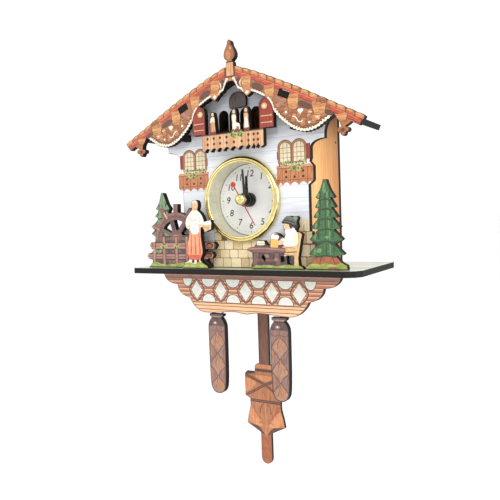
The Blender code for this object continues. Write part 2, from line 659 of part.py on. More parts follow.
def woman_figure():
    outline = [(-47.8, GAP), (-24.2, GAP), (-24.6, 2.5), (-28.6, 4.5), (-30.8, 6.5)]
    outline += smooth([(-30.0, 8.7), (-28.6, 11.5), (-28.5, 16.1), (-29.4, 22.3),
                       (-29.6, 27.7), (-29.3, 31.6)], 2)
    outline += [(-28.4, 32.3), (-25.6, 28.3), (-20.0, 30.2), (-19.5, 35.1), (-20.4, 37.5),
                (-26.4, 36.2)]
    outline += smooth([(-26.6, 37.7), (-27.8, 40.9), (-30.0, 43.5), (-32.2, 45.3)], 2)
    outline += smooth([(-31.4, 47.7), (-31.2, 50.2), (-32.2, 52.3), (-34.3, 53.2), (-36.6, 52.3),
                       (-37.8, 49.9), (-37.2, 46.5)], 2)
    outline += smooth([(-37.4, 45.2), (-40.2, 42.7), (-42.6, 39.7), (-43.9, 36.1),
                       (-43.1, 31.7), (-40.6, 30.3)], 2)
    outline += smooth([(-40.4, 28.1), (-41.6, 22.3), (-43.6, 15.4), (-43.6, 11.5),
                       (-41.6, 8.9)], 2)
    outline += [(-41.8, 6.3), (-45.8, 4.7), (-47.4, 2.1)]
    stand("woman_figure", outline, WOMAN_FACE, PRINTED_SCENE)


def table_scenery():
    outline = [(11.5, GAP), (54.0, GAP), (53.4, 1.9), (50.6, 3.2), (50.2, 8.1),
               (51.3, 14.1), (52.6, 21.1), (53.6, 25.1), (51.8, 26.7), (49.6, 26.9),
               (48.9, 28.5), (50.3, 30.7), (49.6, 33.9), (50.9, 36.9), (49.6, 38.2),
               (46.3, 37.5), (44.6, 38.5), (42.0, 38.4), (39.9, 37.0), (38.4, 35.0),
               (37.3, 34.1), (39.2, 32.5), (39.0, 30.3), (40.1, 27.7), (40.4, 24.9),
               (39.4, 22.5), (37.4, 23.7), (34.4, 26.0), (31.6, 26.8), (29.6, 26.1),
               (28.4, 24.1), (28.0, 18.5), (26.2, 17.5), (24.2, 18.9), (22.8, 21.0),
               (17.4, 21.1), (15.9, 18.5), (14.4, 16.7), (9.4, 15.8), (7.8, 14.5),
               (9.6, 13.5), (12.6, 12.1), (13.0, 6.1), (11.6, 2.7)]
    holes = [[(21.5, 11.1), (23.9, 8.7), (23.2, 5.7), (20.6, 8.3)],
             [(36.0, 9.7), (39.0, 9.7), (39.2, 5.9), (36.4, 5.5)],
             [(40.8, 10.1), (46.4, 10.1), (45.8, 3.9), (41.4, 3.9)]]
    stand("table_scenery", outline, SCENERY_FACE, PRINTED_SCENE, holes)


def spruce_tree():
    """Six tiers of branches, each as (height, half width) at its tips and at the cut above it."""
    middle = 71.5
    tiers = [(11.1, 13.2, 6.6), (21.1, 12.4, 5.9), (29.5, 10.9, 5.1), (36.7, 9.0, 4.3), (43.5, 7.6, 3.7),
             (50.1, 7.0, 0.0)]
    base = [(15.3, GAP), (14.8, 3.5), (11.0, 5.5), (7.2, 9.7)]
    half = list(base)
    for height, reach, cut in tiers:
        half += [(reach - 1.2, height - 0.6), (reach, height + 0.4)]
        if cut:
            half.append((cut, height + 7.0))
    half += [(3.6, 55.7), (1.9, 60.1), (1.2, 62.7)]
    outline = shifted(half, middle) + shifted(mirrored(half), middle)
    stand("spruce_tree", outline, SCENERY_FACE, PRINTED_GREEN)


# ---- weights ----
def weight(side):
    parent = f"weight_axis_{HAND[side]}"
    middle = side * WEIGHT_MIDDLE
    half = [(6.2, WEIGHT_TOP), (6.4, WEIGHT_TOP - 1.6), (4.3, WEIGHT_TOP - 3.0)]
    half += smooth([(5.8, WEIGHT_TOP - 4.8), (7.6, WEIGHT_TOP - 8.6), (7.8, WEIGHT_TOP - 16.0),
                    (7.6, WEIGHT_BOTTOM + 22.0), (7.1, WEIGHT_BOTTOM + 9.0),
                    (6.3, WEIGHT_BOTTOM + 4.4), (4.4, WEIGHT_BOTTOM + 1.4),
                    (2.0, WEIGHT_BOTTOM + 0.2), (0.0, WEIGHT_BOTTOM)], 2)
    outline = [(x, z) for x, z in reversed(shifted(half, middle))]
    outline += [(middle - (x - middle), z) for x, z in reversed(outline)][:-1]
    board(f"weight_{HAND[side]}", outline, WEIGHT_FACE, PRINTED_CONE, pivot=FRAMES[parent][1], parent=parent)


def wire_bend(name, points, parent, radius=WIRE):
    """A round wire through the points, each bend softened, with filled ends."""
    curve = bpy.data.curves.new(name, "CURVE")
    curve.dimensions = "3D"
    curve.bevel_depth = radius * MM
    curve.bevel_resolution = 1
    curve.use_fill_caps = True
    curve.resolution_u = 3
    base = FRAMES[parent][1]
    spline = curve.splines.new("POLY")
    spline.points.add(len(points) - 1)
    for point, place in zip(spline.points, points):
        point.co = (*[(a - b) * MM for a, b in zip(place, base)], 1.0)
    curve.materials.append(finish(*STEEL))
    obj = bpy.data.objects.new(name, curve)
    bpy.context.collection.objects.link(obj)
    obj.parent = FRAMES[parent][0]
    return obj


def weight_hook(side):
    """Wire from the weight's back up to the eye behind the apron, its top bent over the pin."""
    parent = f"weight_axis_{HAND[side]}"
    x, y, z = FRAMES[parent][1]
    foot_y = WEIGHT_FACE + BOARD + GAP
    stem_y = y + BRACKET_PIN + WIRE + GAP
    crook = BRACKET_PIN + WIRE + GAP
    over = [(x, y + crook * math.cos(a), z + crook * math.sin(a))
            for a in (math.radians(step) for step in range(0, 226, 25))]
    points = [(x, foot_y, WEIGHT_TOP - 2.2), (x, foot_y + 1.6, WEIGHT_TOP - 2.0),
              (x, stem_y, WEIGHT_TOP - 0.2), (x, stem_y, z - 1.0), *over]
    wire_bend(f"weight_hook_{HAND[side]}", points, parent)


def weight_bracket(side):
    """A moulded bracket behind the apron: a back plate, two ears and the pin between them."""
    x, y, z = side * WEIGHT_MIDDLE, BOARD_BEHIND, WEIGHT_PIVOT
    pin_y = y + BRACKET_REACH
    outer, inner, ear_end = 3.2, 2.2, pin_y + 1.6
    plan = [(x - outer, y), (x + outer, y), (x + outer, ear_end), (x + inner, ear_end), (x + inner, y + 0.8),
            (x - inner, y + 0.8), (x - inner, ear_end), (x - outer, ear_end)]
    bracket = add(f"weight_bracket_{HAND[side]}", extruded(plan, z - 1.4, 3.4, plane="xy"), STEEL)
    pin = turn_along_x(disc(-inner - 0.5, inner + 0.5, BRACKET_PIN, 10), (x, pin_y, z))
    combine(bracket, "UNION", pin, "pin")


def turn_along_x(bm, place):
    """Lays a body that was turned about Y along X, and moves it to its place."""
    for vert in bm.verts:
        x, y, z = vert.co
        vert.co = (y + place[0], -x + place[1], z + place[2])
    return bm


# ---- pendulum ----
def pendulum_board():
    half = arc(0, PENDULUM_TIP + 4.9, 4.9, -90, 0, 4)
    half += [(4.9, -190.0), (6.4, -188.9), (17.4, -183.2)]
    half += smooth([(16.0, -176.0), (14.1, -169.0), (14.1, -164.4)], 2)
    half += [(14.1, -162.6), (18.5, -160.2), (18.5, -142.4), (17.0, -140.2), (9.6, -140.0),
             (9.0, -139.4), (9.0, -135.2), (7.6, -133.4), (ROD_HALF, -133.2),
             (ROD_HALF, HOOK_HEIGHT + 4.0), (ROD_HALF - 2.0, HOOK_HEIGHT + 6.0)]
    hole = circle(0, HOOK_HEIGHT, 1.6, 10)
    pivot = FRAMES["pendulum_axis"][1]
    board("pendulum_board", half + mirrored(half)[:-1], PENDULUM_FACE, PRINTED_PENDULUM, [hole],
          thick=THIN_BOARD, pivot=pivot, parent="pendulum_axis")


def pendulum_hanger():
    """Moulded arm that swings on the drive's pin; its hook passes through the board's hole."""
    pivot = FRAMES["pendulum_axis"][1]
    thick = PENDULUM_FACE - GAP - HANGER_FACE
    outline = (arc(0, SWING_AXIS, 3.2, 0, 180, 8)
               + [(-2.4, SWING_AXIS - 5), (-3.6, HOOK_HEIGHT - 1.5), (-2.4, HOOK_HEIGHT - 3.4),
                  (2.4, HOOK_HEIGHT - 3.4), (3.6, HOOK_HEIGHT - 1.5), (2.4, SWING_AXIS - 5)])
    bore = circle(0, SWING_AXIS, PIVOT_PIN + GAP, 12)
    magnet_seat = circle(0, MAGNET_HEIGHT, MAGNET_RADIUS + GAP, 16)
    hanger = board("pendulum_hanger", outline, HANGER_FACE, CASE_PLASTIC, [bore, magnet_seat],
                   thick=thick, pivot=pivot, parent="pendulum_axis")
    peg = moved(disc(thick / 2, thick + 2 * GAP + THIN_BOARD + 1.4, 1.2, 10),
                (0, HANGER_FACE - pivot[1], HOOK_HEIGHT - SWING_AXIS))
    combine(hanger, "UNION", peg, "peg")
    magnet = moved(disc(0.2, thick - 0.2, MAGNET_RADIUS, 16),
                   (0, HANGER_FACE - pivot[1], MAGNET_HEIGHT - SWING_AXIS))
    add("hanger_magnet", magnet, STEEL, pivot=pivot, parent="pendulum_axis")


def drive_unit():
    """The pendulum's drive: a shallow tray under the movement, its coil and the pivot pin."""
    outline = rounded_box(-DRIVE_HALF, DRIVE_BOTTOM, DRIVE_HALF, DRIVE_TOP, 2.0)
    tray = board("drive_case", outline, CASE_FACE, CASE_PLASTIC, thick=DRIVE_DEPTH)
    inset = rounded_box(-DRIVE_HALF + CASE_WALL, DRIVE_BOTTOM + CASE_WALL, DRIVE_HALF - CASE_WALL,
                        DRIVE_TOP - CASE_WALL, 1.2)
    combine(tray, "DIFFERENCE", extruded(inset, CASE_INSIDE - 3.0, DRIVE_DEPTH - CASE_BACK + 1.8),
            "hollow")
    pin_hole = moved(disc(CASE_FACE, DRIVE_REAR + 1.0, PIVOT_PIN + GAP, 12), (0, 0, SWING_AXIS))
    combine(tray, "DIFFERENCE", pin_hole, "pin_hole")
    coil_front = CASE_FACE + 2.2
    coil = tube(coil_front, DRIVE_REAR - CASE_BACK - 0.6, 1.8, 5.2, 20)
    add("drive_coil", moved(coil, (0, 0, MAGNET_HEIGHT - 1.0)), COPPER)
    wall = DRIVE_REAR - CASE_BACK
    pin = turned([(0, wall - 1.1), (1.7, wall - 1.1), (1.7, wall - GAP), (PIVOT_PIN, wall - GAP),
                  (PIVOT_PIN, PENDULUM_FACE - GAP), (0, PENDULUM_FACE - GAP)], 12)
    add("pivot_pin", moved(pin, (0, 0, SWING_AXIS)), STEEL)


# ---- dial insert ----
def dial_insert():
    proud = BEZEL_PROUD
    profile = [(RECESS_RADIUS, CUP_INSIDE), (RECESS_RADIUS, -proud + 1.8),
               (RECESS_RADIUS + 0.6, -proud + 0.6), (RECESS_RADIUS + 1.6, -proud),
               (RECESS_RADIUS + 2.7, -proud + 0.3), (BEZEL_RADIUS - 1.1, -proud + 1.5),
               (BEZEL_RADIUS - 0.3, -proud + 3.0), (BEZEL_RADIUS, -proud + 4.1),
               (BEZEL_RADIUS - 0.4, -GAP), (SLEEVE_RADIUS, -GAP), (SLEEVE_RADIUS, CUP_BACK),
               (BUSH_RADIUS + GAP, CUP_BACK), (BUSH_RADIUS + GAP, CUP_INSIDE)]
    add("dial_bezel", turned(profile, 48), GOLD)
    add("dial_plate", tube(DIAL_FACE, DIAL_FACE + DIAL_THICK, BUSH_RADIUS + GAP,
                           RECESS_RADIUS - GAP, 36), DIAL_WHITE)
    ring = [(SLEEVE_RADIUS + GAP, BOARD_BEHIND), (SLEEVE_RADIUS + 3.2, BOARD_BEHIND),
            (SLEEVE_RADIUS + 3.2, BOARD_BEHIND + 1.2), (SLEEVE_RADIUS + GAP, BOARD_BEHIND + 3.0)]
    add("retaining_ring", turned(ring, 36), RUBBER)
    nut = [(BUSH_RADIUS + GAP, DIAL_FACE - GAP), (NUT_RADIUS, DIAL_FACE - GAP),
           (NUT_RADIUS, DIAL_FACE - 1.6), (NUT_RADIUS - 0.5, DIAL_FACE - 2.1),
           (BUSH_RADIUS + GAP, DIAL_FACE - 2.1)]
    add("centre_nut", turned(nut, 24), HAND_BLACK)


def clockwise(points, degrees):
    """Turns points drawn towards 12 o'clock clockwise as seen from the front."""
    a = math.radians(degrees)
    return [(x * math.cos(a) + z * math.sin(a), z * math.cos(a) - x * math.sin(a)) for x, z in points]


def hand_blade(length, root, tip, hub):
    """A plain straight blade whose foot lies inside its hub."""
    start = hub * 0.75
    return [(-root, start), (root, start), (tip, length - 1.0), (0.2 * tip, length),
            (-0.2 * tip, length), (-tip, length - 1.0)]


def hands():
    hour = add("hour_hand", tube(HOUR_HAND_FACE, HOUR_HAND_FACE + HUB_THICK, HOUR_TUBE + GAP,
                                 HOUR_HUB, 28), HAND_BLACK)
    blade = clockwise(hand_blade(HOUR_HAND_LENGTH, 1.2, 1.0, HOUR_HUB), HOUR_ANGLE)
    combine(hour, "UNION", extruded(blade, HOUR_HAND_FACE + 0.25, HAND_THICK), "blade")
    minute = add("minute_hand", tube(MINUTE_HAND_FACE, MINUTE_HAND_FACE + HUB_THICK,
                                     MINUTE_TUBE + GAP, MINUTE_HUB, 28), HAND_BLACK)
    blade = clockwise(hand_blade(MINUTE_HAND_LENGTH, 1.1, 0.8, MINUTE_HUB), MINUTE_ANGLE)
    combine(minute, "UNION", extruded(blade, MINUTE_HAND_FACE + 0.25, HAND_THICK), "blade")
    second = add("second_hand", tube(SECOND_HAND_FACE, SECOND_HAND_FACE + HAND_THICK,
                                     SECOND_ARBOR + GAP, 2.2, 16), HAND_RED)
    (x, z), = clockwise([(0, -13.4)], SECOND_ANGLE)
    combine(second, "UNION", second_blade(), "blade")
    combine(second, "UNION", moved(disc(SECOND_HAND_FACE - 0.05, SECOND_HAND_FACE + HAND_THICK + 0.05,
                                        2.1, 20), (x, 0, z)), "poise")
    base = SECOND_HAND_FACE - GAP
    dome = [(CAP_RADIUS * math.cos(math.radians(a)),
             base - 1.0 - (CAP_HEIGHT - 1.0) * math.sin(math.radians(a))) for a in range(90, -1, -18)]
    dome[0] = (0, base - CAP_HEIGHT)
    add("second_cap", turned(dome + [(0, base)], 24), GOLD)


def second_blade():
    """Both arms of the second hand, left open round the arbor."""
    arms = []
    for near, far in ((1.5, SECOND_HAND_LENGTH), (-1.5, -12.2)):
        arm = [(-0.5, near), (0.5, near), (0.3, far), (-0.3, far)]
        arms.append(extruded(clockwise(arm, SECOND_ANGLE), SECOND_HAND_FACE + 0.05, HAND_THICK - 0.1))
    return joined(arms)


# ---- quartz movement ----
def movement_case():
    outline = rounded_box(-CASE_HALF, -CASE_HALF, CASE_HALF, CASE_HALF, CASE_CORNER)
    case = board("front_case", outline, CASE_FACE, CASE_PLASTIC, thick=CASE_DEPTH)
    inner = CASE_HALF - CASE_WALL
    gears = rounded_box(-inner, DIVIDER_TOP, inner, inner, 1.6)
    cell = rounded_box(-inner, -inner, inner, DIVIDER_TOP - CASE_WALL, 1.6)
    depth = CASE_DEPTH - CASE_BACK + 2.0
    combine(case, "DIFFERENCE", extruded(gears, CASE_INSIDE, depth), "gear_room")
    combine(case, "DIFFERENCE", extruded(cell, CASE_INSIDE - BAY_DEEPER, depth), "battery_room")
    bosses = [moved(tube(CASE_INSIDE - 0.5, COVER_FACE - GAP, SCREW_RADIUS + GAP, BOSS_RADIUS, 14), (x, 0, z))
              for x, z in screw_places()]
    combine(case, "UNION", joined(bosses), "bosses")
    combine(case, "UNION", disc(HOUR_HAND_FACE + HUB_THICK + GAP + 1.0, CASE_INSIDE - 0.4, BUSH_RADIUS, 24),
            "bush")
    combine(case, "DIFFERENCE", disc(HOUR_HAND_FACE, CASE_INSIDE + 1.0, BUSH_BORE, 24), "bush_bore")
    stud = moved(disc(CASE_INSIDE - 0.5, LAYER_MINUTE + WHEEL_THICK + 0.2, 0.45, 10),
                 (MINUTE_AXIS[0], 0, MINUTE_AXIS[1]))
    combine(case, "UNION", stud, "minute_stud")
    pivots = [moved(disc(CASE_FACE - 1, CASE_INSIDE + 1, ARBOR + GAP, 10), (x, 0, z))
              for x, z in (THIRD_AXIS, MIDDLE_AXIS, KNOB_AXIS)]
    combine(case, "DIFFERENCE", joined(pivots), "pivot_holes")

    cover_outline = rounded_box(-CASE_HALF, DIVIDER_TOP - CASE_WALL, CASE_HALF, CASE_HALF, CASE_CORNER)
    screw_holes = [circle(x, z, SCREW_RADIUS + GAP, 10) for x, z in screw_places()]
    knob_hole = circle(*KNOB_AXIS, ARBOR + GAP, 12)
    board("rear_case", cover_outline, COVER_FACE, CASE_PLASTIC, [knob_hole, *screw_holes],
          thick=CASE_BACK)
    for index, (x, z) in enumerate(screw_places(), 1):
        profile = [(0, COVER_REAR + 1.1), (SCREW_HEAD - 0.3, COVER_REAR + 1.1),
                   (SCREW_HEAD, COVER_REAR + 0.8), (SCREW_HEAD, COVER_REAR + GAP),
                   (SCREW_RADIUS, COVER_REAR + GAP),
                   (SCREW_RADIUS, COVER_REAR - SCREW_LENGTH), (0, COVER_REAR - SCREW_LENGTH)]
        add(f"case_screw_{index}", moved(turned(profile, 12), (x, 0, z)), STEEL)


def screw_places():
    inset = CASE_HALF - SCREW_INSET
    return [(-inset, inset), (inset, inset), (-inset, DIVIDER_TOP + 4.0), (inset, DIVIDER_TOP + 4.0)]


def gear_plate():
    inner = CASE_HALF - CASE_WALL - GAP
    outline = rounded_box(-inner, DIVIDER_TOP + GAP, inner, inner, 1.6)
    holes = [circle(x, z, ARBOR + GAP, 10) for x, z in
             (THIRD_AXIS, MIDDLE_AXIS, KNOB_AXIS, (0, 0))]
    holes.append(circle(*ROTOR_AXIS, ARBOR + GAP, 10))
    holes += [circle(x, z, BOSS_RADIUS + GAP, 14) for x, z in screw_places()]
    across, up = COIL_HALF + 0.6, COIL_RADIUS + 0.6
    holes.append(rounded_box(ROTOR_AXIS[0] - across, COIL_HEIGHT - up, ROTOR_AXIS[0] + across,
                             COIL_HEIGHT + up, 0.6))
    board("gear_plate", outline, PLATE_FACE, GEAR_PLASTIC, holes, thick=PLATE_THICK)


def tooth_ring(teeth, module, phase):
    """Outline of a gear with slim straight teeth, one of them at the phase angle in degrees."""
    pitch_radius = module * teeth / 2
    tip, root = pitch_radius + ADDENDUM * module, pitch_radius - DEDENDUM * module
    pitch = 360 / teeth
    flanks = [(root, -ROOT_SHARE), (tip, -TIP_SHARE), (tip, TIP_SHARE), (root, ROOT_SHARE)]
    if teeth > 20:
        flanks = [(root, -0.5), (tip, -TIP_SHARE), (tip, TIP_SHARE)]
    edge = []
    for tooth in range(teeth):
        for radius, share in flanks:
            a = math.radians(phase + (tooth + share) * pitch)
            edge.append((radius * math.cos(a), radius * math.sin(a)))
    return edge


def mesh_phase(driver_teeth, driver_phase, teeth, direction):
    """Phase of a gear so that a gap of its meets the driver's tooth on the line of centres."""
    driver_pitch, pitch = 360 / driver_teeth, 360 / teeth
    ahead = ((direction - driver_phase) / driver_pitch) % 1.0
    return direction + 180 - pitch * (0.5 - ahead)


def angle_to(start, end):
    return math.degrees(math.atan2(end[1] - start[1], end[0] - start[0]))


def wheel(name, axis, front, rear, arbor, rings, bore=0.0, pins=20):
    """An arbor or tube with toothed rings on it, all one moulding, about its own axis."""
    pivot = (axis[0], 0, axis[1])
    core = tube(front, rear, bore, arbor, pins) if bore else disc(front, rear, arbor, pins)
    body = add(name, core, GEAR_PLASTIC, pivot=pivot)
    for index, (teeth, module, phase, face, thick) in enumerate(rings):
        hole = [circle(0, 0, (bore + arbor) / 2, 12)] if bore else []
        combine(body, "UNION", extruded(tooth_ring(teeth, module, phase), face, thick, hole),
                f"ring{index}")
    return body


def going_train():
    """Rotor, intermediate wheel, second wheel, third wheel and centre wheel."""
    second_phase = 0.0
    to_third = angle_to((0, 0), THIRD_AXIS)
    third_phase = mesh_phase(6, second_phase, 45, to_third)
    centre_phase = mesh_phase(6, third_phase, 48, to_third + 180)
    to_middle = angle_to((0, 0), MIDDLE_AXIS)
    middle_phase = mesh_phase(30, second_phase, 6, to_middle)
    rotor_phase = mesh_phase(36, middle_phase, 6, angle_to(MIDDLE_AXIS, ROTOR_AXIS))
    reach = PLATE_FACE + PLATE_THICK
    wheel("second_wheel", (0, 0), SECOND_HAND_FACE + 0.1, reach, SECOND_ARBOR,
          [(6, MODULES["second_third"], second_phase, LAYER_THIRD - 0.2, 1.2),
           (30, MODULES["middle_second"], second_phase, LAYER_SECOND, WHEEL_THICK)], pins=12)
    wheel("third_wheel", THIRD_AXIS, CASE_FACE + 0.3, reach, ARBOR,
          [(45, MODULES["second_third"], third_phase, LAYER_THIRD, WHEEL_THICK),
           (6, MODULES["third_centre"], third_phase, LAYER_CENTRE - 0.2, 1.2)], pins=12)
    wheel("centre_wheel", (0, 0), LAYER_CENTRE - 0.1, LAYER_CENTRE + WHEEL_THICK + 0.1,
          MINUTE_TUBE + GAP + 1.0,
          [(48, MODULES["third_centre"], centre_phase, LAYER_CENTRE, WHEEL_THICK)],
          bore=MINUTE_TUBE + GAP)
    wheel("intermediate_wheel", MIDDLE_AXIS, CASE_FACE + 0.3, reach, ARBOR,
          [(6, MODULES["middle_second"], middle_phase, LAYER_SECOND - 0.2, 1.2),
           (36, MODULES["rotor_middle"], middle_phase, LAYER_MIDDLE, WHEEL_THICK)], pins=12)
    rotor = wheel("rotor", ROTOR_AXIS, CASE_INSIDE + GAP, reach, ARBOR,
                  [(6, MODULES["rotor_middle"], rotor_phase, LAYER_MIDDLE - 0.2, 1.2)], pins=12)
    combine(rotor, "UNION", disc(STATOR_FACE - 0.2, STATOR_FACE + 1.4, ROTOR_MAGNET, 16), "magnet")


def motion_work():
    """Cannon pinion, minute wheel, hour wheel and the setting knob."""
    to_minute = angle_to((0, 0), MINUTE_AXIS)
    cannon_phase = 0.0
    minute_phase = mesh_phase(8, cannon_phase, 24, to_minute)
    hour_phase = mesh_phase(6, minute_phase, 24, to_minute + 180)
    knob_phase = mesh_phase(24, minute_phase, 8, angle_to(MINUTE_AXIS, KNOB_AXIS))
    wheel("cannon_pinion", (0, 0), MINUTE_HAND_FACE - 0.4, LAYER_CENTRE + WHEEL_THICK + 0.4, MINUTE_TUBE,
          [(8, MODULES["cannon_minute"], cannon_phase, LAYER_MINUTE, WHEEL_THICK)], bore=MINUTE_BORE)
    wheel("minute_wheel", MINUTE_AXIS, LAYER_HOUR - 0.2, LAYER_MINUTE + WHEEL_THICK, 1.05,
          [(24, MODULES["cannon_minute"], minute_phase, LAYER_MINUTE, WHEEL_THICK),
           (6, MODULES["minute_hour"], minute_phase, LAYER_HOUR - 0.1, 1.2)], bore=0.75, pins=14)
    wheel("hour_wheel", (0, 0), HOUR_HAND_FACE, LAYER_HOUR + WHEEL_THICK + 0.2, HOUR_TUBE,
          [(24, MODULES["minute_hour"], hour_phase, LAYER_HOUR, WHEEL_THICK)], bore=HOUR_BORE)
    knob = wheel("setting_knob", KNOB_AXIS, CASE_FACE + 0.3, COVER_REAR + 3.0, ARBOR,
                 [(8, MODULES["cannon_minute"], knob_phase, LAYER_MINUTE, WHEEL_THICK)], pins=12)
    rim = []
    for step in range(36):
        radius = KNOB_RADIUS - (0.35 if step % 2 else 0.0)
        a = math.radians(10 * step)
        rim.append((radius * math.cos(a), radius * math.sin(a)))
    combine(knob, "UNION", extruded(rim, COVER_REAR + 1.6, KNOB_HEIGHT), "grip")


def battery():
    """The cell lying in its bay, with the flat contact at its tip and the spring at its foot."""
    z = -CASE_HALF + CASE_WALL + BATTERY_RADIUS + GAP
    y = CASE_INSIDE - BAY_DEEPER + BATTERY_RADIUS + GAP
    wall = CASE_HALF - CASE_WALL - GAP
    tip = wall - CONTACT_THICK - GAP
    foot = tip - BATTERY_LENGTH
    shoulder = tip - BATTERY_TIP
    profile = [(0, foot), (BATTERY_RADIUS - 0.4, foot), (BATTERY_RADIUS, foot + 0.5),
               (BATTERY_RADIUS, shoulder - 0.5), (BATTERY_RADIUS - 0.4, shoulder), (2.7, shoulder),
               (2.7, tip), (0, tip)]
    add("battery", turn_along_x(turned(profile, 24), (0, y, z)), BATTERY_SKIN)
    for name, low in (("minus", -wall), ("plus", wall - CONTACT_THICK)):
        strip = block((low, y - 4, z - 4), (low + CONTACT_THICK, y + 4, z + 4))
        contact = add(f"battery_contact_{name}", strip, STEEL)
        if name == "minus":
            start, end = -wall + 0.1, foot - GAP
            cone = turned([(0, start), (3.4, start), (1.8, end), (0, end)], 16)
            combine(contact, "UNION", turn_along_x(cone, (0, y, z)), "spring")


def motor():
    """The stepping motor's iron, its coil, and the circuit board that drives them."""
    x, z = ROTOR_AXIS
    outer, inner = STATOR_HALF, STATOR_HALF - STATOR_LIMB
    low, bridge, high = z - 4.6, z + 4.6, COIL_HEIGHT + COIL_RADIUS + 1.0
    shape = [(x - outer, low), (x + outer, low), (x + outer, high), (x + inner, high), (x + inner, bridge),
             (x - inner, bridge), (x - inner, high), (x - outer, high)]
    board("stator", shape, STATOR_FACE, STEEL, [circle(x, z, ROTOR_MAGNET + 0.5, 16)], thick=PLATE_THICK)
    coil = tube(-COIL_HALF, COIL_HALF, 0.9, COIL_RADIUS, 16)
    add("stator_coil", turn_along_x(coil, (x, STATOR_FACE + PLATE_THICK / 2, COIL_HEIGHT)), COPPER)
    left = -CASE_HALF + CASE_WALL + 0.8
    outline = [(left, 9.6), (-3.5, 9.6), (-3.5, 25.4), (left, 25.4)]
    board("circuit_board", outline, PLATE_FACE - 1.5, CIRCUIT,
          [circle(*screw_places()[0], BOSS_RADIUS + GAP, 14)], thick=PLATE_THICK)


def main():
    clear_scene()
    frame("clock_frame", (0, 0, 0))
    pin_y = BOARD + GAP + BRACKET_REACH
    for side, name in ((-1, "left"), (1, "right")):
        frame(f"weight_axis_{name}", (side * WEIGHT_MIDDLE, pin_y, WEIGHT_PIVOT), "clock_frame")
    frame("pendulum_axis", (0, HANGER_FACE + 1.0, SWING_AXIS), "clock_frame")
    facade()
    back_panel()
    shelf()
    apron()
    for side in (-1, 1):
        side_panel(side)
        roof_board(side)
        weight(side)
        weight_hook(side)
        weight_bracket(side)
        gable_spacer(side)
    gable_front()
    balcony_floor()
    cuckoo_door()
    mill_scenery()
    woman_figure()
    table_scenery()
    spruce_tree()
    pendulum_board()
    pendulum_hanger()
    drive_unit()
    dial_insert()
    hands()
    movement_case()
    gear_plate()
    going_train()
    motion_work()
    battery()
    motor()


main()
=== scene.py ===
"""The looks of a small chalet wall clock: printed board fronts, charred cut edges, gilt, dial and hands.

Drawings are in millimetres from the dial's centre, X to the right and Z up, each on the front face
of its board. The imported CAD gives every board's outline and depth.
"""
import json
import math

import bpy
import numpy as np
from mathutils import Matrix, Vector
from mathutils.geometry import delaunay_2d_cdt


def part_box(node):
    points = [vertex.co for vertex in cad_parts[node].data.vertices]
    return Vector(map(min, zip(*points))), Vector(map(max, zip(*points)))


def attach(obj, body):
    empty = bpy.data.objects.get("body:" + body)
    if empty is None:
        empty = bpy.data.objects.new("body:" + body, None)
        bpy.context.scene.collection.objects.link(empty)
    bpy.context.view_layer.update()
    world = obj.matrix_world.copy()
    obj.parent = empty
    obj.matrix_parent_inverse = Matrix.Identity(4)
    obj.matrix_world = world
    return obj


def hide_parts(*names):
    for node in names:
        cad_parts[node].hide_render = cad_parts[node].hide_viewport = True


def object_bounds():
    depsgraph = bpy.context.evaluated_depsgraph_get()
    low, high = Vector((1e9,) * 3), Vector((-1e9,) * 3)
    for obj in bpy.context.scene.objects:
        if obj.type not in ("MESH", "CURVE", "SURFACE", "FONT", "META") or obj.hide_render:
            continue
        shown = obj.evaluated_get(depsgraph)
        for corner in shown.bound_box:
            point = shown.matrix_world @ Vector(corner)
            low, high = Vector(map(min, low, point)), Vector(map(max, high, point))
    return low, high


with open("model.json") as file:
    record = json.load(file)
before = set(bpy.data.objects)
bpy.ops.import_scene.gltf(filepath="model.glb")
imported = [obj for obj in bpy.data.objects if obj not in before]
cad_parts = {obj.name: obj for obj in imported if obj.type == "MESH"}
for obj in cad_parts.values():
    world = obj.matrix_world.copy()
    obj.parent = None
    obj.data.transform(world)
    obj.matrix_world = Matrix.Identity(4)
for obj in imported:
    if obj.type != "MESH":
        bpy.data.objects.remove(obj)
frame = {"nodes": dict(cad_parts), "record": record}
CAD_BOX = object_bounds()

MM = 0.001
BEZEL_LOW, BEZEL_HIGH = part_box("dial_bezel")
CENTRE = (BEZEL_LOW + BEZEL_HIGH) / 2
WALL_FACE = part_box("facade")[0].y
BODY_OF = {member: body for body, members in frame["record"]["behaviour"]["bodies"].items()
    for member in members}

PRINT_LIFT = 0.05         # the printed sheet's face in front of its board
PRINT_THICK = 0.08
CHAR_WIDTH = 0.5          # laser-charred line round every printed board, half of it on the board
BEZEL_RIM = 5.0           # bezel's width from its outer edge to its inner wall
NUMERAL_RADIUS = 20.2
NUMERAL_HEIGHT = 7.2

CAMERA_YAW, CAMERA_PITCH, CAMERA_ROLL = 30.103, -3.040, -1.886
CAMERA_PLACE = (227.493, -383.5, -14.939)   # in mm from the dial's centre and the facade's front
CAMERA_LENS = 42.05
FLOOR_DROP = 60.0         # floor under the clock's lowest point
FLOOR_REACH = 60.0        # floor's half width, in metres

# ---- outlines ----


def mirror(points):
    return [(-x, z) for x, z in reversed(points)]


def sided(side):
    """A function that mirrors points where the side is -1."""
    return lambda points: [(side * x, z) for x, z in points]


def shift(points, x, z=0.0):
    return [(a + x, b + z) for a, b in points]


def rect(left, bottom, right, top):
    return [(left, bottom), (right, bottom), (right, top), (left, top)]


def arc(x, z, across, up, start, end, steps=10):
    turns = [math.radians(start + (end - start) * step / steps) for step in range(steps + 1)]
    return [(x + across * math.cos(a), z + up * math.sin(a)) for a in turns]


def oval(x, z, across, up, steps=16, tilt=0.0):
    c, s = math.cos(math.radians(tilt)), math.sin(math.radians(tilt))
    ring = arc(0, 0, across, up, 0, 360 * (steps - 1) / steps, steps - 1)
    return [(x + a * c - b * s, z + a * s + b * c) for a, b in ring]


def diamond(x, z, across, up):
    return [(x - across, z), (x, z - up), (x + across, z), (x, z + up)]


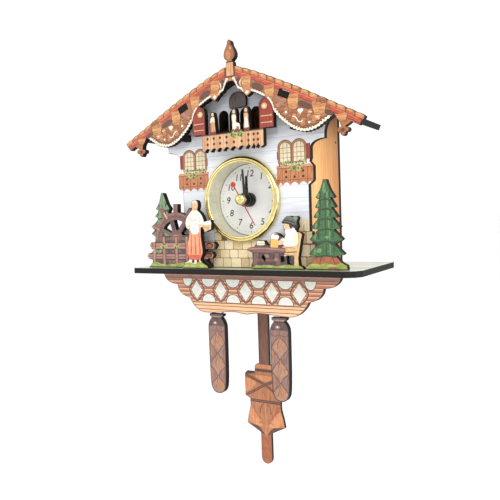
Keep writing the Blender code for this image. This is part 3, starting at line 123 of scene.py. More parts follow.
def smooth(points, steps=5, closed=False):
    """A Catmull-Rom curve through the points."""
    padded = [points[-1], *points, points[0], points[1]] if closed else [points[0], *points, points[-1]]
    curve = []
    for four in zip(padded, padded[1:], padded[2:], padded[3:]):
        for step in range(steps):
            t = step / steps
            curve.append(tuple(0.5 * (2 * q + (r - p) * t + (2 * p - 5 * q + 4 * r - s) * t ** 2
                + (3 * q - p - 3 * r + s) * t ** 3) for p, q, r, s in zip(*four)))
    return curve if closed else curve + [points[-1]]


def blob(points, steps=4):
    return smooth(points, steps, closed=True)


def sideways(points, distance):
    """The same open curve moved that far to the left of its direction."""
    line = np.array(points, float)
    along = np.gradient(line, axis=0)
    along /= np.maximum(np.linalg.norm(along, axis=1, keepdims=True), 1e-9)
    return [tuple(p) for p in line + distance * np.stack([-along[:, 1], along[:, 0]], axis=1)]


def ribbon(points, width, closed=False):
    """A line of that width along the points."""
    if closed:
        (x0, z0), (x1, z1) = points[0], points[1]
        middle = ((x0 + x1) / 2, (z0 + z1) / 2)
        points = [middle, *points[1:], points[0], middle]
    return sideways(points, width / 2) + sideways(points, -width / 2)[::-1]


def stations(points, pitch, start=0.0):
    """(x, z) places along a curve, a pitch apart."""
    line = np.array(points, float)
    reach = np.concatenate([[0], np.cumsum(np.linalg.norm(np.diff(line, axis=0), axis=1))])
    marks = np.arange(start, reach[-1], pitch)
    return list(zip(np.interp(marks, reach, line[:, 0]), np.interp(marks, reach, line[:, 1])))


def board_loops(node):
    """The outline and holes of a board's front face, read from its mesh."""
    mesh = frame["nodes"][node].data
    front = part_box(node)[0].y
    uses = {}
    for face in mesh.polygons:
        corners = [mesh.vertices[i].co for i in face.vertices]
        if max(abs(corner.y - front) for corner in corners) > 0.02 * MM:
            continue
        keys = [(round((c.x - CENTRE.x) / MM, 3), round((c.z - CENTRE.z) / MM, 3)) for c in corners]
        for a, b in zip(keys, keys[1:] + keys[:1]):
            uses[(a, b)] = uses.get((a, b), 0) + 1
    follow = {a: b for (a, b) in uses if (b, a) not in uses}
    loops = []
    while follow:
        start = point = next(iter(follow))
        loop = []
        while point in follow:
            loop.append(point)
            point = follow.pop(point)
        if point == start and len(loop) > 2:
            loops.append(loop)
    return loops


def stretch_between(loop, start, end):
    """The part of a closed loop from near one point to near another, in the loop's direction."""
    near = [min(range(len(loop)), key=lambda i: math.dist(loop[i], spot)) for spot in (start, end)]
    if near[1] < near[0]:
        return loop[near[0]:] + loop[:near[1] + 1]
    return loop[near[0]:near[1] + 1]


# ---- materials ----
def screen(red, green, blue, strength=0.9):
    """A screen colour of 0 to 255 as a linear paint colour."""
    return tuple(strength * ((v / 255 + 0.055) / 1.055) ** 2.4 for v in (red, green, blue))


def blend(tree, factor, first, second):
    """A colour between two, either of which is a colour or a socket."""
    mix = tree.nodes.new("ShaderNodeMix")
    mix.data_type = "RGBA"
    tree.links.new(factor, mix.inputs["Factor"])
    for socket, value in ((mix.inputs["A"], first), (mix.inputs["B"], second)):
        if isinstance(value, tuple):
            socket.default_value = (*value, 1.0)
        else:
            tree.links.new(value, socket)
    return mix.outputs["Result"]


def spread(tree, source, low, high, to_low=0.0, to_high=1.0):
    """The source's range from low to high brought to another range."""
    ranged = tree.nodes.new("ShaderNodeMapRange")
    tree.links.new(source, ranged.inputs["Value"])
    for label, value in (("From Min", low), ("From Max", high), ("To Min", to_low), ("To Max", to_high)):
        ranged.inputs[label].default_value = value
    return ranged.outputs["Result"]


def noise(tree, coordinates, size, detail=5.0, roughness=0.6, warp=0.0):
    """Noise whose features are about that many millimetres across."""
    texture = tree.nodes.new("ShaderNodeTexNoise")
    texture.inputs["Scale"].default_value = 1 / (size * MM)
    texture.inputs["Detail"].default_value = detail
    texture.inputs["Roughness"].default_value = roughness
    texture.inputs["Distortion"].default_value = warp
    tree.links.new(coordinates, texture.inputs["Vector"])
    return texture.outputs["Fac"]


class Surface:
    """A material in the making: its shader, its object coordinates and its grain."""

    def __init__(self, name, stretch=(1, 1, 1)):
        self.material = bpy.data.materials.new(name)
        self.material.use_nodes = True
        self.tree = self.material.node_tree
        self.shader = self.tree.nodes["Principled BSDF"]
        self.place = self.tree.nodes.new("ShaderNodeTexCoord")
        mapping = self.tree.nodes.new("ShaderNodeMapping")
        mapping.inputs["Scale"].default_value = stretch
        self.tree.links.new(self.place.outputs["Object"], mapping.inputs["Vector"])
        self.grain = mapping.outputs["Vector"]

    def axis(self, output, letter):
        split = self.tree.nodes.new("ShaderNodeSeparateXYZ")
        self.tree.links.new(self.place.outputs[output], split.inputs["Vector"])
        return split.outputs[letter]

    def colour(self, source):
        self.tree.links.new(source, self.shader.inputs["Base Color"])

    def gloss(self, source, low, high):
        self.tree.links.new(spread(self.tree, source, 0.3, 0.7, low, high), self.shader.inputs["Roughness"])

    def relief(self, source, height, strength=0.5):
        bump = self.tree.nodes.new("ShaderNodeBump")
        bump.inputs["Strength"].default_value = strength
        bump.inputs["Distance"].default_value = height * MM
        self.tree.links.new(source, bump.inputs["Height"])
        self.tree.links.new(bump.outputs["Normal"], self.shader.inputs["Normal"])

    def facing(self, letter, edge=0.7):
        """1 where the surface faces along that axis of the object, 0 elsewhere."""
        size = self.tree.nodes.new("ShaderNodeMath")
        size.operation = "ABSOLUTE"
        self.tree.links.new(self.axis("Normal", letter), size.inputs[0])
        return spread(self.tree, size.outputs[0], edge - 0.05, edge + 0.05)


INKS = {}


def ink(name, light, dark, across=1.6, up=1.6, roughness=0.42):
    """A printed paint that drifts between two tones, in patches of that width and height."""
    paint = Surface(f"ink_{name}", (1 / across, 1 / across, 1 / up))
    broad = noise(paint.tree, paint.grain, 1.0, detail=4)
    fine = noise(paint.tree, paint.place.outputs["Object"], 0.35, detail=2)
    tone = blend(paint.tree, spread(paint.tree, broad, 0.36, 0.64), screen(*light), screen(*dark))
    speck = blend(paint.tree, spread(paint.tree, fine, 0.25, 0.75, 0.0, 0.3), tone, screen(*dark))
    paint.colour(speck)
    paint.gloss(fine, roughness - 0.06, roughness + 0.08)
    paint.relief(fine, 0.02, 0.35)
    INKS[name] = paint.material


def mix_inks():
    ink("plank", (244, 246, 249), (224, 227, 233), 24, 1.2)
    # plank_shadow_grey is painted shade for the wall behind the balcony
    ink("plank_shadow_grey", (214, 216, 221), (196, 198, 204), 24, 1.2)
    ink("plank_shade", (236, 238, 243), (216, 219, 227), 24, 1.2)
    ink("plank_line", (204, 207, 215), (188, 191, 201), 8, 1)
    ink("stone_light", (255, 240, 204), (246, 224, 180), 3, 2)
    ink("stone_mid", (252, 232, 192), (240, 214, 166), 3, 2)
    ink("stone_dark", (232, 208, 164), (212, 182, 134), 3, 2)
    ink("mortar", (140, 112, 72), (112, 86, 54))
    ink("frame_tan", (196, 144, 98), (160, 108, 70), 1, 5)
    ink("frame_dark", (122, 76, 50), (92, 56, 38), 1, 4)
    ink("glass_cream", (238, 228, 198), (212, 204, 170), 3, 3)
    ink("box_orange", (206, 138, 92), (176, 106, 64), 1.2, 6)
    ink("box_light", (222, 160, 116), (196, 130, 88), 6, 1)
    ink("hole", (70, 38, 24), (44, 24, 16))
    ink("char", (26, 20, 17), (12, 10, 9), 2, 2, 0.6)
    ink("red", (176, 62, 46), (140, 44, 36), 1, 6)
    ink("red_dark", (112, 36, 30), (84, 28, 24), 1, 4)
    ink("coral", (206, 88, 62), (172, 62, 44), 4, 1.0)
    ink("coral_light", (226, 126, 98), (204, 98, 74), 4, 1)
    ink("tile_tan", (212, 152, 98), (180, 114, 64), 4, 1.0)
    ink("tile_light", (226, 172, 116), (200, 142, 88), 3, 0.9)
    ink("tile_orange", (190, 122, 70), (158, 92, 48), 4, 1)
    ink("tile_dark", (134, 80, 50), (102, 58, 36), 3, 1)
    ink("lobe", (176, 116, 72), (140, 84, 48), 3, 1.0)
    ink("lobe_light", (204, 142, 94), (176, 110, 66), 2.5, 1.2)
    ink("lobe_dark", (112, 66, 40), (84, 48, 30), 2, 1)
    ink("plum", (116, 74, 60), (88, 52, 44), 3, 1)
    ink("mauve", (168, 128, 120), (140, 102, 94), 4, 1)
    ink("cream", (244, 236, 218), (224, 212, 188), 2, 2)
    ink("white", (250, 248, 242), (232, 230, 222), 3, 3)
    ink("peach", (226, 176, 132), (200, 146, 102), 1.5, 4)
    ink("gold_line", (226, 186, 120), (196, 150, 84), 2, 1)
    ink("rail_tan", (222, 172, 128), (194, 142, 98), 1, 7)
    ink("rail_light", (234, 190, 148), (210, 160, 116), 1, 7)
    ink("hair", (92, 56, 36), (66, 38, 24))
    ink("skin", (238, 204, 170), (226, 184, 148), 2, 2)
    ink("leaf", (134, 158, 84), (98, 126, 58), 1.2, 1.2)
    ink("leaf_light", (186, 196, 116), (156, 170, 88), 1.2, 1.2)
    ink("leaf_dark", (68, 92, 52), (46, 68, 38), 1.2, 1.2)
    ink("spruce", (84, 124, 74), (50, 88, 50), 0.9, 2.2)
    ink("spruce_light", (132, 166, 108), (88, 130, 78), 0.8, 1.6)
    ink("spruce_dark", (52, 84, 52), (32, 56, 36), 0.9, 1.6)
    ink("mist_green", (140, 158, 128), (106, 130, 98), 2, 2)
    ink("grass", (176, 182, 82), (132, 146, 60), 2.5, 1)
    ink("mill", (142, 104, 94), (110, 76, 70), 3, 1.4)
    ink("mill_dark", (98, 76, 78), (70, 54, 58), 2, 2)
    ink("fence", (196, 146, 124), (160, 110, 92), 7, 0.9)
    ink("skirt", (238, 176, 134), (222, 142, 104), 1.2, 5)
    ink("skirt_red", (222, 108, 86), (200, 82, 68), 1.4, 4)
    ink("beer", (244, 202, 108), (226, 172, 74), 2, 2)
    ink("hat", (112, 116, 104), (84, 88, 78), 2, 2)
    ink("hat_dark", (44, 48, 44), (28, 30, 28), 2, 2)
    ink("chair", (232, 198, 148), (206, 164, 108), 1.4, 5)
    ink("trunk", (186, 110, 70), (146, 80, 48), 1.5, 3)
    ink("apron_tan", (236, 184, 144), (208, 148, 108), 12, 0.8)
    ink("apron_light", (250, 206, 164), (230, 176, 130), 14, 0.8)
    ink("apron_red", (196, 134, 108), (168, 106, 84), 12, 0.7)
    ink("lattice_dark", (112, 84, 74), (84, 62, 56), 2, 2)
    ink("lattice_white", (236, 234, 226), (214, 212, 204), 3, 3)
    ink("cone", (164, 126, 112), (128, 96, 88), 1.2, 4)
    ink("cone_light", (192, 144, 114), (150, 112, 96), 1.6, 4)
    ink("cone_dark", (106, 84, 82), (78, 62, 62), 1.2, 3)
    ink("sienna", (200, 136, 94), (168, 102, 64), 1.1, 7)
    ink("sienna_light", (226, 160, 112), (198, 126, 82), 1.1, 6)
    ink("umber", (144, 100, 80), (118, 78, 62), 1.1, 7)
    ink("umber_dark", (112, 76, 64), (84, 56, 48), 3, 1.2)
    ink("door", (92, 82, 76), (66, 58, 54), 1, 6)
    ink("door_dark", (54, 48, 46), (38, 34, 32), 1, 4)
    ink("dial", (246, 246, 244), (238, 239, 237), 9, 9, 0.34)
    ink("dial_black", (30, 30, 32), (18, 18, 20), 1, 1, 0.4)


def cut_board(name, broad, light, dark, stretch=(1, 1, 1), char=(22, 17, 14)):
    """A laser-cut board: its broad faces along one axis have a grain, and its edges are charred."""
    board = Surface(name, stretch)
    tree = board.tree
    grain = noise(tree, board.grain, 1.0, detail=7, warp=0.4)
    fibre = noise(tree, board.place.outputs["Object"], 0.3, detail=3)
    scorch = noise(tree, board.place.outputs["Object"], 1.4, detail=4)
    face = blend(tree, spread(tree, grain, 0.32, 0.68), screen(*light), screen(*dark))
    edge = blend(tree, spread(tree, scorch, 0.35, 0.7), screen(*char), screen(44, 33, 26, 0.5))
    board.colour(blend(tree, board.facing(broad), edge, face))
    board.gloss(fibre, 0.6, 0.85)
    board.shader.inputs["Specular IOR Level"].default_value = 0.2
    board.relief(fibre, 0.05, 0.4)
    return board


def board_materials():
    """Materials of the CAD boards, by name."""
    printed = cut_board("board_printed", "Y", (150, 112, 78), (112, 80, 54), (0.4, 0.4, 0.4))
    panel = cut_board("board_panel", "X", (255, 206, 142), (226, 150, 88), (1.0, 0.8, 0.03))
    tree = panel.tree
    # Painted shade: the side panels darken towards their back edge, next to the wall
    painted_wall_shade = spread(tree, panel.axis("Object", "Y"), WALL_FACE + 0.02, -0.003, 0.0, 0.75)
    plain = panel.shader.inputs["Base Color"].links[0].from_socket
    panel.colour(blend(tree, painted_wall_shade, plain, screen(150, 92, 52)))
    roof = cut_board("board_roof", "Z", (62, 60, 58), (38, 37, 36), (0.3, 0.04, 0.3))
    black = cut_board("board_black", "Y", (40, 36, 33), (26, 23, 21))
    # The shelf's pale tones are partly its green print and partly painted reflection of the bright room on
    # its glossy top
    shelf = cut_board("board_shelf", "Z", (216, 222, 200), (168, 178, 150), (0.03, 0.1, 1.0), (15, 18, 15))
    satin = spread(shelf.tree, shelf.facing("Z"), 0.0, 1.0, 0.85, 0.24)
    shelf.tree.links.new(satin, shelf.shader.inputs["Roughness"])
    shelf.shader.inputs["Specular IOR Level"].default_value = 0.4
    back = cut_board("board_back", "Y", (196, 142, 92), (156, 104, 62), (0.6, 0.6, 0.04))
    return {"printed": printed.material, "panel": panel.material, "roof": roof.material,
        "black": black.material, "shelf": shelf.material, "back": back.material}


def fine_material(name, light, dark, size, roughness, metallic=0.0, relief=0.01, stretch=(1, 1, 1)):
    """Metal or moulded plastic: a faint drift of tone and gloss, with fine relief."""
    fine = Surface(name, stretch)
    fine.shader.inputs["Metallic"].default_value = metallic
    tone = noise(fine.tree, fine.grain, size, detail=4)
    micro = noise(fine.tree, fine.grain, size / 6, detail=3)
    fine.colour(blend(fine.tree, spread(fine.tree, tone, 0.3, 0.7), screen(*light), screen(*dark)))
    fine.gloss(tone, roughness * 0.8, roughness * 1.25)
    fine.relief(micro, relief, 0.3)
    return fine.material


# ---- printed sheets ----
def winding(loop, points):
    """How often the loop goes round each point."""
    a = np.array(loop, float)
    b = np.roll(a, -1, axis=0)
    x, z = points[:, :1], points[:, 1:]
    left = (b[:, 0] - a[:, 0]) * (z - a[:, 1]) - (x - a[:, 0]) * (b[:, 1] - a[:, 1])
    up = (a[:, 1] <= z) & (z < b[:, 1]) & (left > 0)
    down = (b[:, 1] <= z) & (z < a[:, 1]) & (left < 0)
    return up.sum(axis=1) - down.sum(axis=1)


class Sheet:
    """The print on one board: shapes painted one over the other, made into one thin sheet."""

    def __init__(self, node, base):
        self.node = node
        self.name = f"{node}_print"
        self.base = base
        self.loops = board_loops(node)
        self.shapes = []

    def paint(self, colour, *outlines):
        for outline in outlines:
            self.shapes.append((outline, colour))

    def line(self, colour, points, width, closed=False):
        self.paint(colour, ribbon(points, width, closed))

    def both(self, colour, *outlines):
        """The outlines and their mirror images."""
        for outline in outlines:
            self.paint(colour, outline, mirror(outline))

    def outer(self):
        return max(self.loops, key=len)

    def finish(self):
        for loop in self.loops:
            self.line("char", loop, CHAR_WIDTH, closed=True)
        corners, edges = [], []
        for loop in [*self.loops, *(outline for outline, _ in self.shapes)]:
            first = len(corners)
            corners += [Vector(corner) for corner in loop]
            edges += [(first + i, first + (i + 1) % len(loop)) for i in range(len(loop))]
        found = delaunay_2d_cdt(corners, edges, [], 0, 1e-5)
        flat = np.array([tuple(v) for v in found[0]])
        faces = np.array([face for face in found[2]])
        middles = flat[faces].mean(axis=1)
        on_board = sum(winding(loop, middles) % 2 for loop in self.loops) % 2 == 1
        return self.build(flat, faces[on_board], *self.wear(middles[on_board]))

    def wear(self, middles):
        """Each triangle's place in the list of colours: the last shape painted over its middle."""
        colours = [self.base]
        worn = np.full(len(middles), -1)
        for outline, colour in reversed(self.shapes):
            low, high = np.min(outline, axis=0), np.max(outline, axis=0)
            maybe = np.flatnonzero((worn < 0) & (middles >= low).all(axis=1) & (middles <= high).all(axis=1))
            if not len(maybe):
                continue
            inside = maybe[winding(outline, middles[maybe]) != 0]
            if colour not in colours:
                colours.append(colour)
            worn[inside] = colours.index(colour)
        worn[worn < 0] = 0
        return worn, colours

    def build(self, flat, faces, worn, colours):
        used, index = np.unique(faces, return_inverse=True)
        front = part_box(self.node)[0].y - PRINT_LIFT * MM
        spots = [(CENTRE.x + x * MM, front, CENTRE.z + z * MM) for x, z in flat[used]]
        triangles = index.reshape(faces.shape)
        a, b, c = (flat[faces[:, i]] for i in range(3))
        turn = ((b - a)[:, 0] * (c - a)[:, 1] - (b - a)[:, 1] * (c - a)[:, 0])
        triangles[turn < 0] = triangles[turn < 0][:, ::-1]
        mesh = bpy.data.meshes.new(self.name)
        mesh.from_pydata(spots, [], [tuple(map(int, t)) for t in triangles])
        for colour in colours:
            mesh.materials.append(INKS[colour])
        mesh.polygons.foreach_set("material_index", worn.astype(np.int32))
        sheet = place_piece(self.name, mesh, BODY_OF[self.node])
        body = sheet.modifiers.new("thickness", "SOLIDIFY")
        body.thickness = PRINT_THICK * MM
        body.offset = -1.0
        return sheet


def place_piece(name, mesh, body):
    piece = bpy.data.objects.new(name, mesh)
    bpy.context.scene.collection.objects.link(piece)
    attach(piece, body)
    return piece


# ---- the house front ----
def stones(sheet):
    """Staggered beige stones at the wall's foot and up its right corner."""
    sheet.paint("mortar", rect(-34, -52, 20, -31), rect(-26.5, -31.2, -15, -24.4), rect(46, -52, 63, -20.6))
    tones = ("stone_light", "stone_mid", "stone_light", "stone_dark", "stone_mid")
    rows = ((-31.2, -37.9, 0), (-38.3, -44.4, 4), (-44.8, -52.2, 1.5))
    count = 0
    for top, bottom, offset in rows:
        left = -34 - offset
        while left < 20:
            wide = 8.2 + 1.6 * math.sin(3.1 * count)
            sheet.paint(tones[count % 5], rounded(left, bottom, left + wide - 0.4, top, 0.8))
            left += wide
            count += 1
    sheet.paint("stone_mid", rounded(-26.2, -30.8, -20.2, -24.8, 0.8))
    for low, start, widths in ((-25, 46.4, (4, 5.6)), (-33.8, 46, (6, 8.6)), (-43.2, 46, (9, 7)),
            (-52.2, 46, (6, 11))):
        for wide in widths:
            sheet.paint(tones[count % 5], rounded(start, low, start + wide, low + 8.4, 0.8))
            start += wide + 0.4
            count += 1


def rounded(left, bottom, right, top, radius):
    return (arc(right - radius, bottom + radius, radius, radius, -90, 0, 3)
        + arc(right - radius, top - radius, radius, radius, 0, 90, 3)
        + arc(left + radius, top - radius, radius, radius, 90, 180, 3)
        + arc(left + radius, bottom + radius, radius, radius, 180, 270, 3))


def arched(middle, half, bottom, spring):
    """A window's outline with a round top."""
    crown = arc(middle, spring, half, half * 0.86, 0, 180, 12)
    return [(middle - half, bottom), (middle + half, bottom), *crown]


def wall_window(sheet, side):
    """Twin arched window with its lattice, red shutter, greenery and flower box."""
    turn = sided(side)
    sheet.paint("red", turn(rect(52.4, 26.5, 57.2, 37.6)), turn(rect(30.6, 27.5, 32.4, 33.5)))
    sheet.line("red_dark", turn([(53, 26.8), (53, 37.2), (56.6, 37.2), (56.6, 26.8)]), 0.4)
    for middle in (37.3, 48.3):
        sheet.paint("frame_dark", turn(arched(middle, 6.1, 24.4, 36.4)))
        sheet.paint("frame_tan", turn(arched(middle, 5.6, 24.4, 36.3)))
        sheet.paint("frame_dark", turn(arched(middle, 4.6, 25.4, 36)))
        sheet.paint("glass_cream", turn(arched(middle, 4.2, 25.6, 36)))
        for x in (-1.6, 1.6):
            sheet.line("frame_tan", turn([(middle + x, 25.6), (middle + x, 39.2)]), 0.45)
        for z in (28.6, 32, 35.6):
            sheet.line("frame_tan", turn([(middle - 4.2, z), (middle + 4.2, z)]), 0.45)
    sheet.paint("box_orange", turn([(30.2, 23), (30.2, 10.6)] + box_teeth() + [(59.4, 10.6), (59.4, 23)]))
    sheet.paint("box_light", turn(rect(29.8, 21.2, 59.8, 23.2)))
    sheet.line("lobe_dark", turn([(30, 21), (59.6, 21)]), 0.4)
    sheet.line("lobe_dark", turn([(30.4, 12.4), (59.4, 12.4)]), 0.3)
    for x in (34.4, 41, 47.8, 54.6):
        sheet.line("lobe_dark", turn([(x, 21), (x, 10.4)]), 0.3)
    for x in (37.7, 44.4, 51.2):
        for z in (18.4, 14.5):
            if (x, z) != (44.4, 18.4):
                sheet.paint("hole", turn(oval(x, z, 0.95, 0.95, 12)))
    leaves = (("leaf_dark", 35, 24, 3.4, 1.3), ("leaf", 40, 24.6, 3.6, 1.7),
        ("leaf_dark", 45, 21.6, 4.6, 3), ("leaf", 50.6, 24.5, 4, 1.8), ("leaf_light", 44, 22.8, 3.4, 2.2),
        ("leaf_light", 48.2, 20.2, 2.4, 1.6), ("leaf_light", 36.6, 24.8, 1.6, 0.9),
        ("leaf_light", 52, 25.2, 1.6, 0.8), ("leaf", 42.6, 19.6, 2, 1.3))
    for colour, x, z, across, up in leaves:
        foliage(sheet, colour, side * x, z, across, up)


def foliage(sheet, colour, x, z, across, up, count=9):
    """Small leaves turned every way over a patch."""
    for k in range(count):
        a = 2.4 * k + x
        reach = math.sqrt((k + 0.5) / count)
        sheet.paint((colour, colour, "leaf_dark", "leaf_light")[k % 4],
            oval(x + across * reach * math.cos(a), z + up * reach * math.sin(a), 1.1, 0.45, 8,
            math.degrees(a * 1.7)))


def box_teeth():
    """Scalloped lower edge of a flower box, from its inner end outwards."""
    tips = (31.4, 34.6, 41, 47.8, 54.6, 58.6)
    edge = []
    for left, right in zip(tips, tips[1:]):
        edge += [(left + (right - left) * k / 6, 8.4 + 2.4 * math.sin(math.pi * k / 6)) for k in range(6)]
    return edge + [(tips[-1], 8.4)]


def leafy(x, z, across, up, lobes=7):
    """A bush: an oval with a bumpy rim."""
    edge = []
    for step in range(lobes * 4):
        a = 2 * math.pi * step / (lobes * 4)
        reach = 0.86 + 0.16 * abs(math.sin(a * lobes / 2 + x))
        edge.append((x + across * reach * math.cos(a), z + up * reach * math.sin(a)))
    return edge


def facade_print():
    sheet = Sheet("facade", "plank")
    # Painted shade: greyer planks on the wall behind the balcony, under the gable
    sheet.paint("plank_shadow_grey", rect(-32, 46.5, 32, 90))
    for low, high in ((8.4, 17), (-20.4, -11.4)):
        sheet.paint("plank_shade", rect(-90, low, 90, high))
    for z in (62, 53, 44, 34.6, 26.2, 17.2, 8.2, -0.6, -11.2, -20.6):
        sheet.line("plank_line", [(-90, z), (90, z)], 0.35)
    for side in (-1, 1):
        wall_window(sheet, side)
    stones(sheet)
    return sheet.finish()


# ---- the gable ----
EAVE_X = (0, 3.3, 20, 50, 80, 102.4)
EAVE_Z = (98.2, 97.2, 90.9, 76.9, 61.3, 49.5)


def eave(drop, start, end, step=1.2, wave=0, pitch=6.6):
    """Points along the gable's top edge, that far under it, with a wave of that depth."""
    count = max(2, round((end - start) / step))
    places = [start + (end - start) * k / count for k in range(count + 1)]
    return [(x, float(np.interp(x, EAVE_X, EAVE_Z)) - drop - wave * abs(math.sin(math.pi * x / pitch)))
        for x in places]


def tile_rows(sheet, side):
    turn = sided(side)
    sheet.paint("tile_dark", turn(eave(-2, 3, 104) + eave(6.4, 3, 104)[::-1]))
    for index in range(16):
        left, right = 4.4 + 6.5 * index, 10.6 + 6.5 * index
        sheet.paint(("tile_tan", "tile_orange", "tile_tan")[index % 3],
            turn(eave(-1.5, left, right) + eave(2.4, left + 0.3, right - 0.3, 1.2, 0.5)[::-1]))
        x, z = eave(0.9, left + 2.4, right)[0]
        sheet.paint("tile_light", turn(oval(x + 0.6, z, 2.1, 0.62, 12, -26)))
    sheet.paint("coral", turn(eave(2.7, 4.6, 99, 1.1, 0.5) + eave(5.7, 4.6, 99, 1.1, 0.6, 5.2)[::-1]))
    sheet.paint("coral_light", turn(eave(3, 5, 97, 1.1, 0.5) + eave(3.7, 5, 97, 1.1, 0.5)[::-1]))
    sheet.line("red_dark", turn(eave(5.9, 4.6, 98, 1.1, 0.6, 5.2)), 0.35)


def shingles(sheet, side):
    """Stacked tan shingles that hang under the red band, with dark shapes between them."""
    turn = sided(side)
    for left, right, top, low in ((9.4, 17.6, 88.6, 79.8), (28, 36.4, 79.6, 70.6), (46, 55, 70.6, 61.2),
            (65, 75, 61.4, 55.4), (82, 90, 53, 49.4)):
        middle, half = (left + right) / 2, (right - left) / 2
        for step, tone in enumerate(("tile_tan", "tile_light", "tile_tan")):
            z = top - step * (top - low) / 3
            drop = (top - low) / 3 + 1.1
            wide = half * (1 - 0.1 * step)
            sheet.paint("tile_dark", turn(tongue(middle, wide + 0.35, z, drop + 0.35)))
            sheet.paint(tone, turn(tongue(middle, wide, z, drop)))
            sheet.line("tile_orange", turn([(middle - wide * 0.7, z - drop * 0.45),
                (middle + wide * 0.6, z - drop * 0.6)]), 0.4)
    for x, z, across, up, tilt in ((6.6, 85.6, 2.2, 2.6, 0), (22.6, 79.4, 4.8, 2.4, -24),
            (59.5, 62, 5.4, 1.9, -24), (77.5, 54.6, 3.6, 1.3, -26)):
        sheet.paint("lobe_dark", turn(oval(x, z, across + 0.4, up + 0.4, 18, tilt)))
        sheet.paint("plum", turn(oval(x, z, across, up, 18, tilt)))
    for x, z in ((40, 66.6), (39, 69), (42.6, 64.4)):
        sheet.paint("mauve", turn(oval(x, z, 3.4, 0.7, 12, -20)))
    sheet.paint("cream", turn(smooth([(9.2, 87), (8, 85.6), (7.9, 83.6), (9, 82)])
        + smooth([(9, 82.6), (8.7, 84.2), (9.4, 86.4)])))


def tongue(middle, half, top, drop):
    """A shingle's outline: straight sides and a rounded tip."""
    spring = top - drop * 0.7
    tip = arc(middle, spring, half * 0.96, drop * 0.3, 180, 360, 8)
    return [(middle - half, top), (middle - half * 0.96, spring), *tip, (middle + half, top)]


def lobes(sheet, side):
    """Carved lace over the hanging lobe, then its white border and ornaments."""
    turn = sided(side)
    rim = smooth([(35.5, 61.4), (38, 57.9), (43, 52.8), (49, 48.2), (55, 45.2), (61, 44.4), (67, 45.6),
        (73, 48.8), (80.3, 53.6)], 6)
    for row, inset in enumerate((14.5, 12, 9.5, 7, 4.5)):
        inner = sideways(rim, inset)
        for index, (x, z) in enumerate(stations(inner, 4, 2 * (row % 2))):
            sheet.paint("lobe_dark", turn(oval(x, z, 2.25, 1.9, 14)))
            sheet.paint(("lobe_light", "lobe")[(index + row) % 2], turn(oval(x, z + 0.35, 1.95, 1.6, 14)))
            sheet.line("lobe_dark", turn(arc(x, z + 0.6, 1.1, 0.9, 200, 340, 6)), 0.28)
    sheet.line("lobe_dark", turn(sideways(rim, 2.1)), 0.5)
    ends = [(35.3 * side, 61), (80.3 * side, 53.6)][::side]
    edge = stretch_between(sheet.outer(), *ends)
    sheet.line("lobe_dark", sideways(edge, 2), 0.5)
    sheet.line("cream", sideways(edge, 0.95), 1.5)
    for x, z in stations(sideways(edge, 1.7), 2.6, 1):
        sheet.paint("cream", oval(x, z, 0.75, 0.6, 10))
    for x, z in ((45, 58.8), (62.5, 50), (49.5, 61.4), (71, 55.6)):
        sheet.paint("white", turn(oval(x, z, 0.9, 0.8, 12)))
    sheet.paint("white", turn(heart(56, 58.5, 2.1)))
    sheet.line("white", turn(smooth([(50, 55.2), (51.5, 55.1), (53, 53.6), (54, 51.7), (56, 51),
        (57.6, 51.7)])), 0.65)
    sheet.line("cream", turn([(62, 57), (64.6, 56.6)]), 0.6)
    for a in range(5):
        spot = math.radians(90 + 72 * a)
        sheet.paint("peach", turn(oval(68.5 + 1.3 * math.cos(spot), 53 + 1.3 * math.sin(spot), 1, 0.9, 10)))
    sheet.paint("cream", turn(oval(68.5, 53, 0.7, 0.7, 10)))


def heart(x, z, size):
    edge = []
    for step in range(24):
        t = 2 * math.pi * step / 24
        edge.append((x + size * math.sin(t) ** 3, z + size * (0.8125 * math.cos(t)
            - 0.3125 * math.cos(2 * t) - 0.125 * math.cos(3 * t) - 0.0625 * math.cos(4 * t))))
    return edge


def icing(sheet, line):
    """A white line with bumps on both sides, and a thin shadow."""
    sheet.line("lobe_dark", line, 2.3)
    sheet.line("cream", line, 1.2)
    for x, z in stations(line, 2.3, 0.8):
        sheet.paint("cream", oval(x, z, 0.95, 0.95, 12))


def window_border(sheet, side):
    """White icing round the gable's window, and the tan drop with its white bead."""
    turn = sided(side)
    icing(sheet, turn(smooth([(2.9, 90.2), (3.7, 87.4), (4.8, 85.2), (6, 81.9), (9.2, 80.2), (11.4, 78)])))
    sheet.paint("tile_tan", turn([(10, 79.6), (12.2, 76), (13.8, 74.4), (16.4, 76.2), (18.4, 79.6)]))
    sheet.paint("white", turn(diamond(13.9, 76.9, 1.7, 1.5)))
    icing(sheet, turn(smooth([(17.6, 78), (19.4, 77.3), (22, 76.2), (25.4, 74.4), (28.6, 72.6)])))
    icing(sheet, turn(smooth([(30.6, 70.9), (32.6, 69), (34.2, 65.8), (35.2, 61.6)])))


def shutter(sheet, side):
    turn = sided(side)
    leaf = [(22, 49), (35.4, 49), (35.2, 61.6), (34, 65.4), (32.2, 68.4), (30, 70.8), (27.4, 71.6),
        (22, 66)]
    sheet.paint("red_dark", turn(leaf))
    sheet.paint("red", turn([(24, 50.4), (34.6, 50.4), (34.3, 61), (33.2, 64.8), (31.4, 67.8), (29.4, 69.8),
        (27.8, 70.3), (24.6, 66.2)]))
    for x in (26.6, 29.3, 32):
        sheet.line("red_dark", turn([(x, 50.4), (x, 68.6)]), 0.28)
    for z in (58.3, 53.6):
        sheet.line("red_dark", turn([(24.4, z), (33.6, z)]), 1.5)
        sheet.line("gold_line", turn([(24.6, z), (33, z)]), 0.8)
        sheet.paint("gold_line", turn(diamond(33, z, 0.9, 0.8)))
    sheet.paint("red_dark", turn(oval(27.8, 65.3, 2.9, 2.8, 16)))
    sheet.paint("gold_line", turn(oval(27.8, 65.3, 2.4, 2.3, 16)))
    sheet.paint("cream", turn(diamond(27.8, 65.3, 1.2, 1.2)))


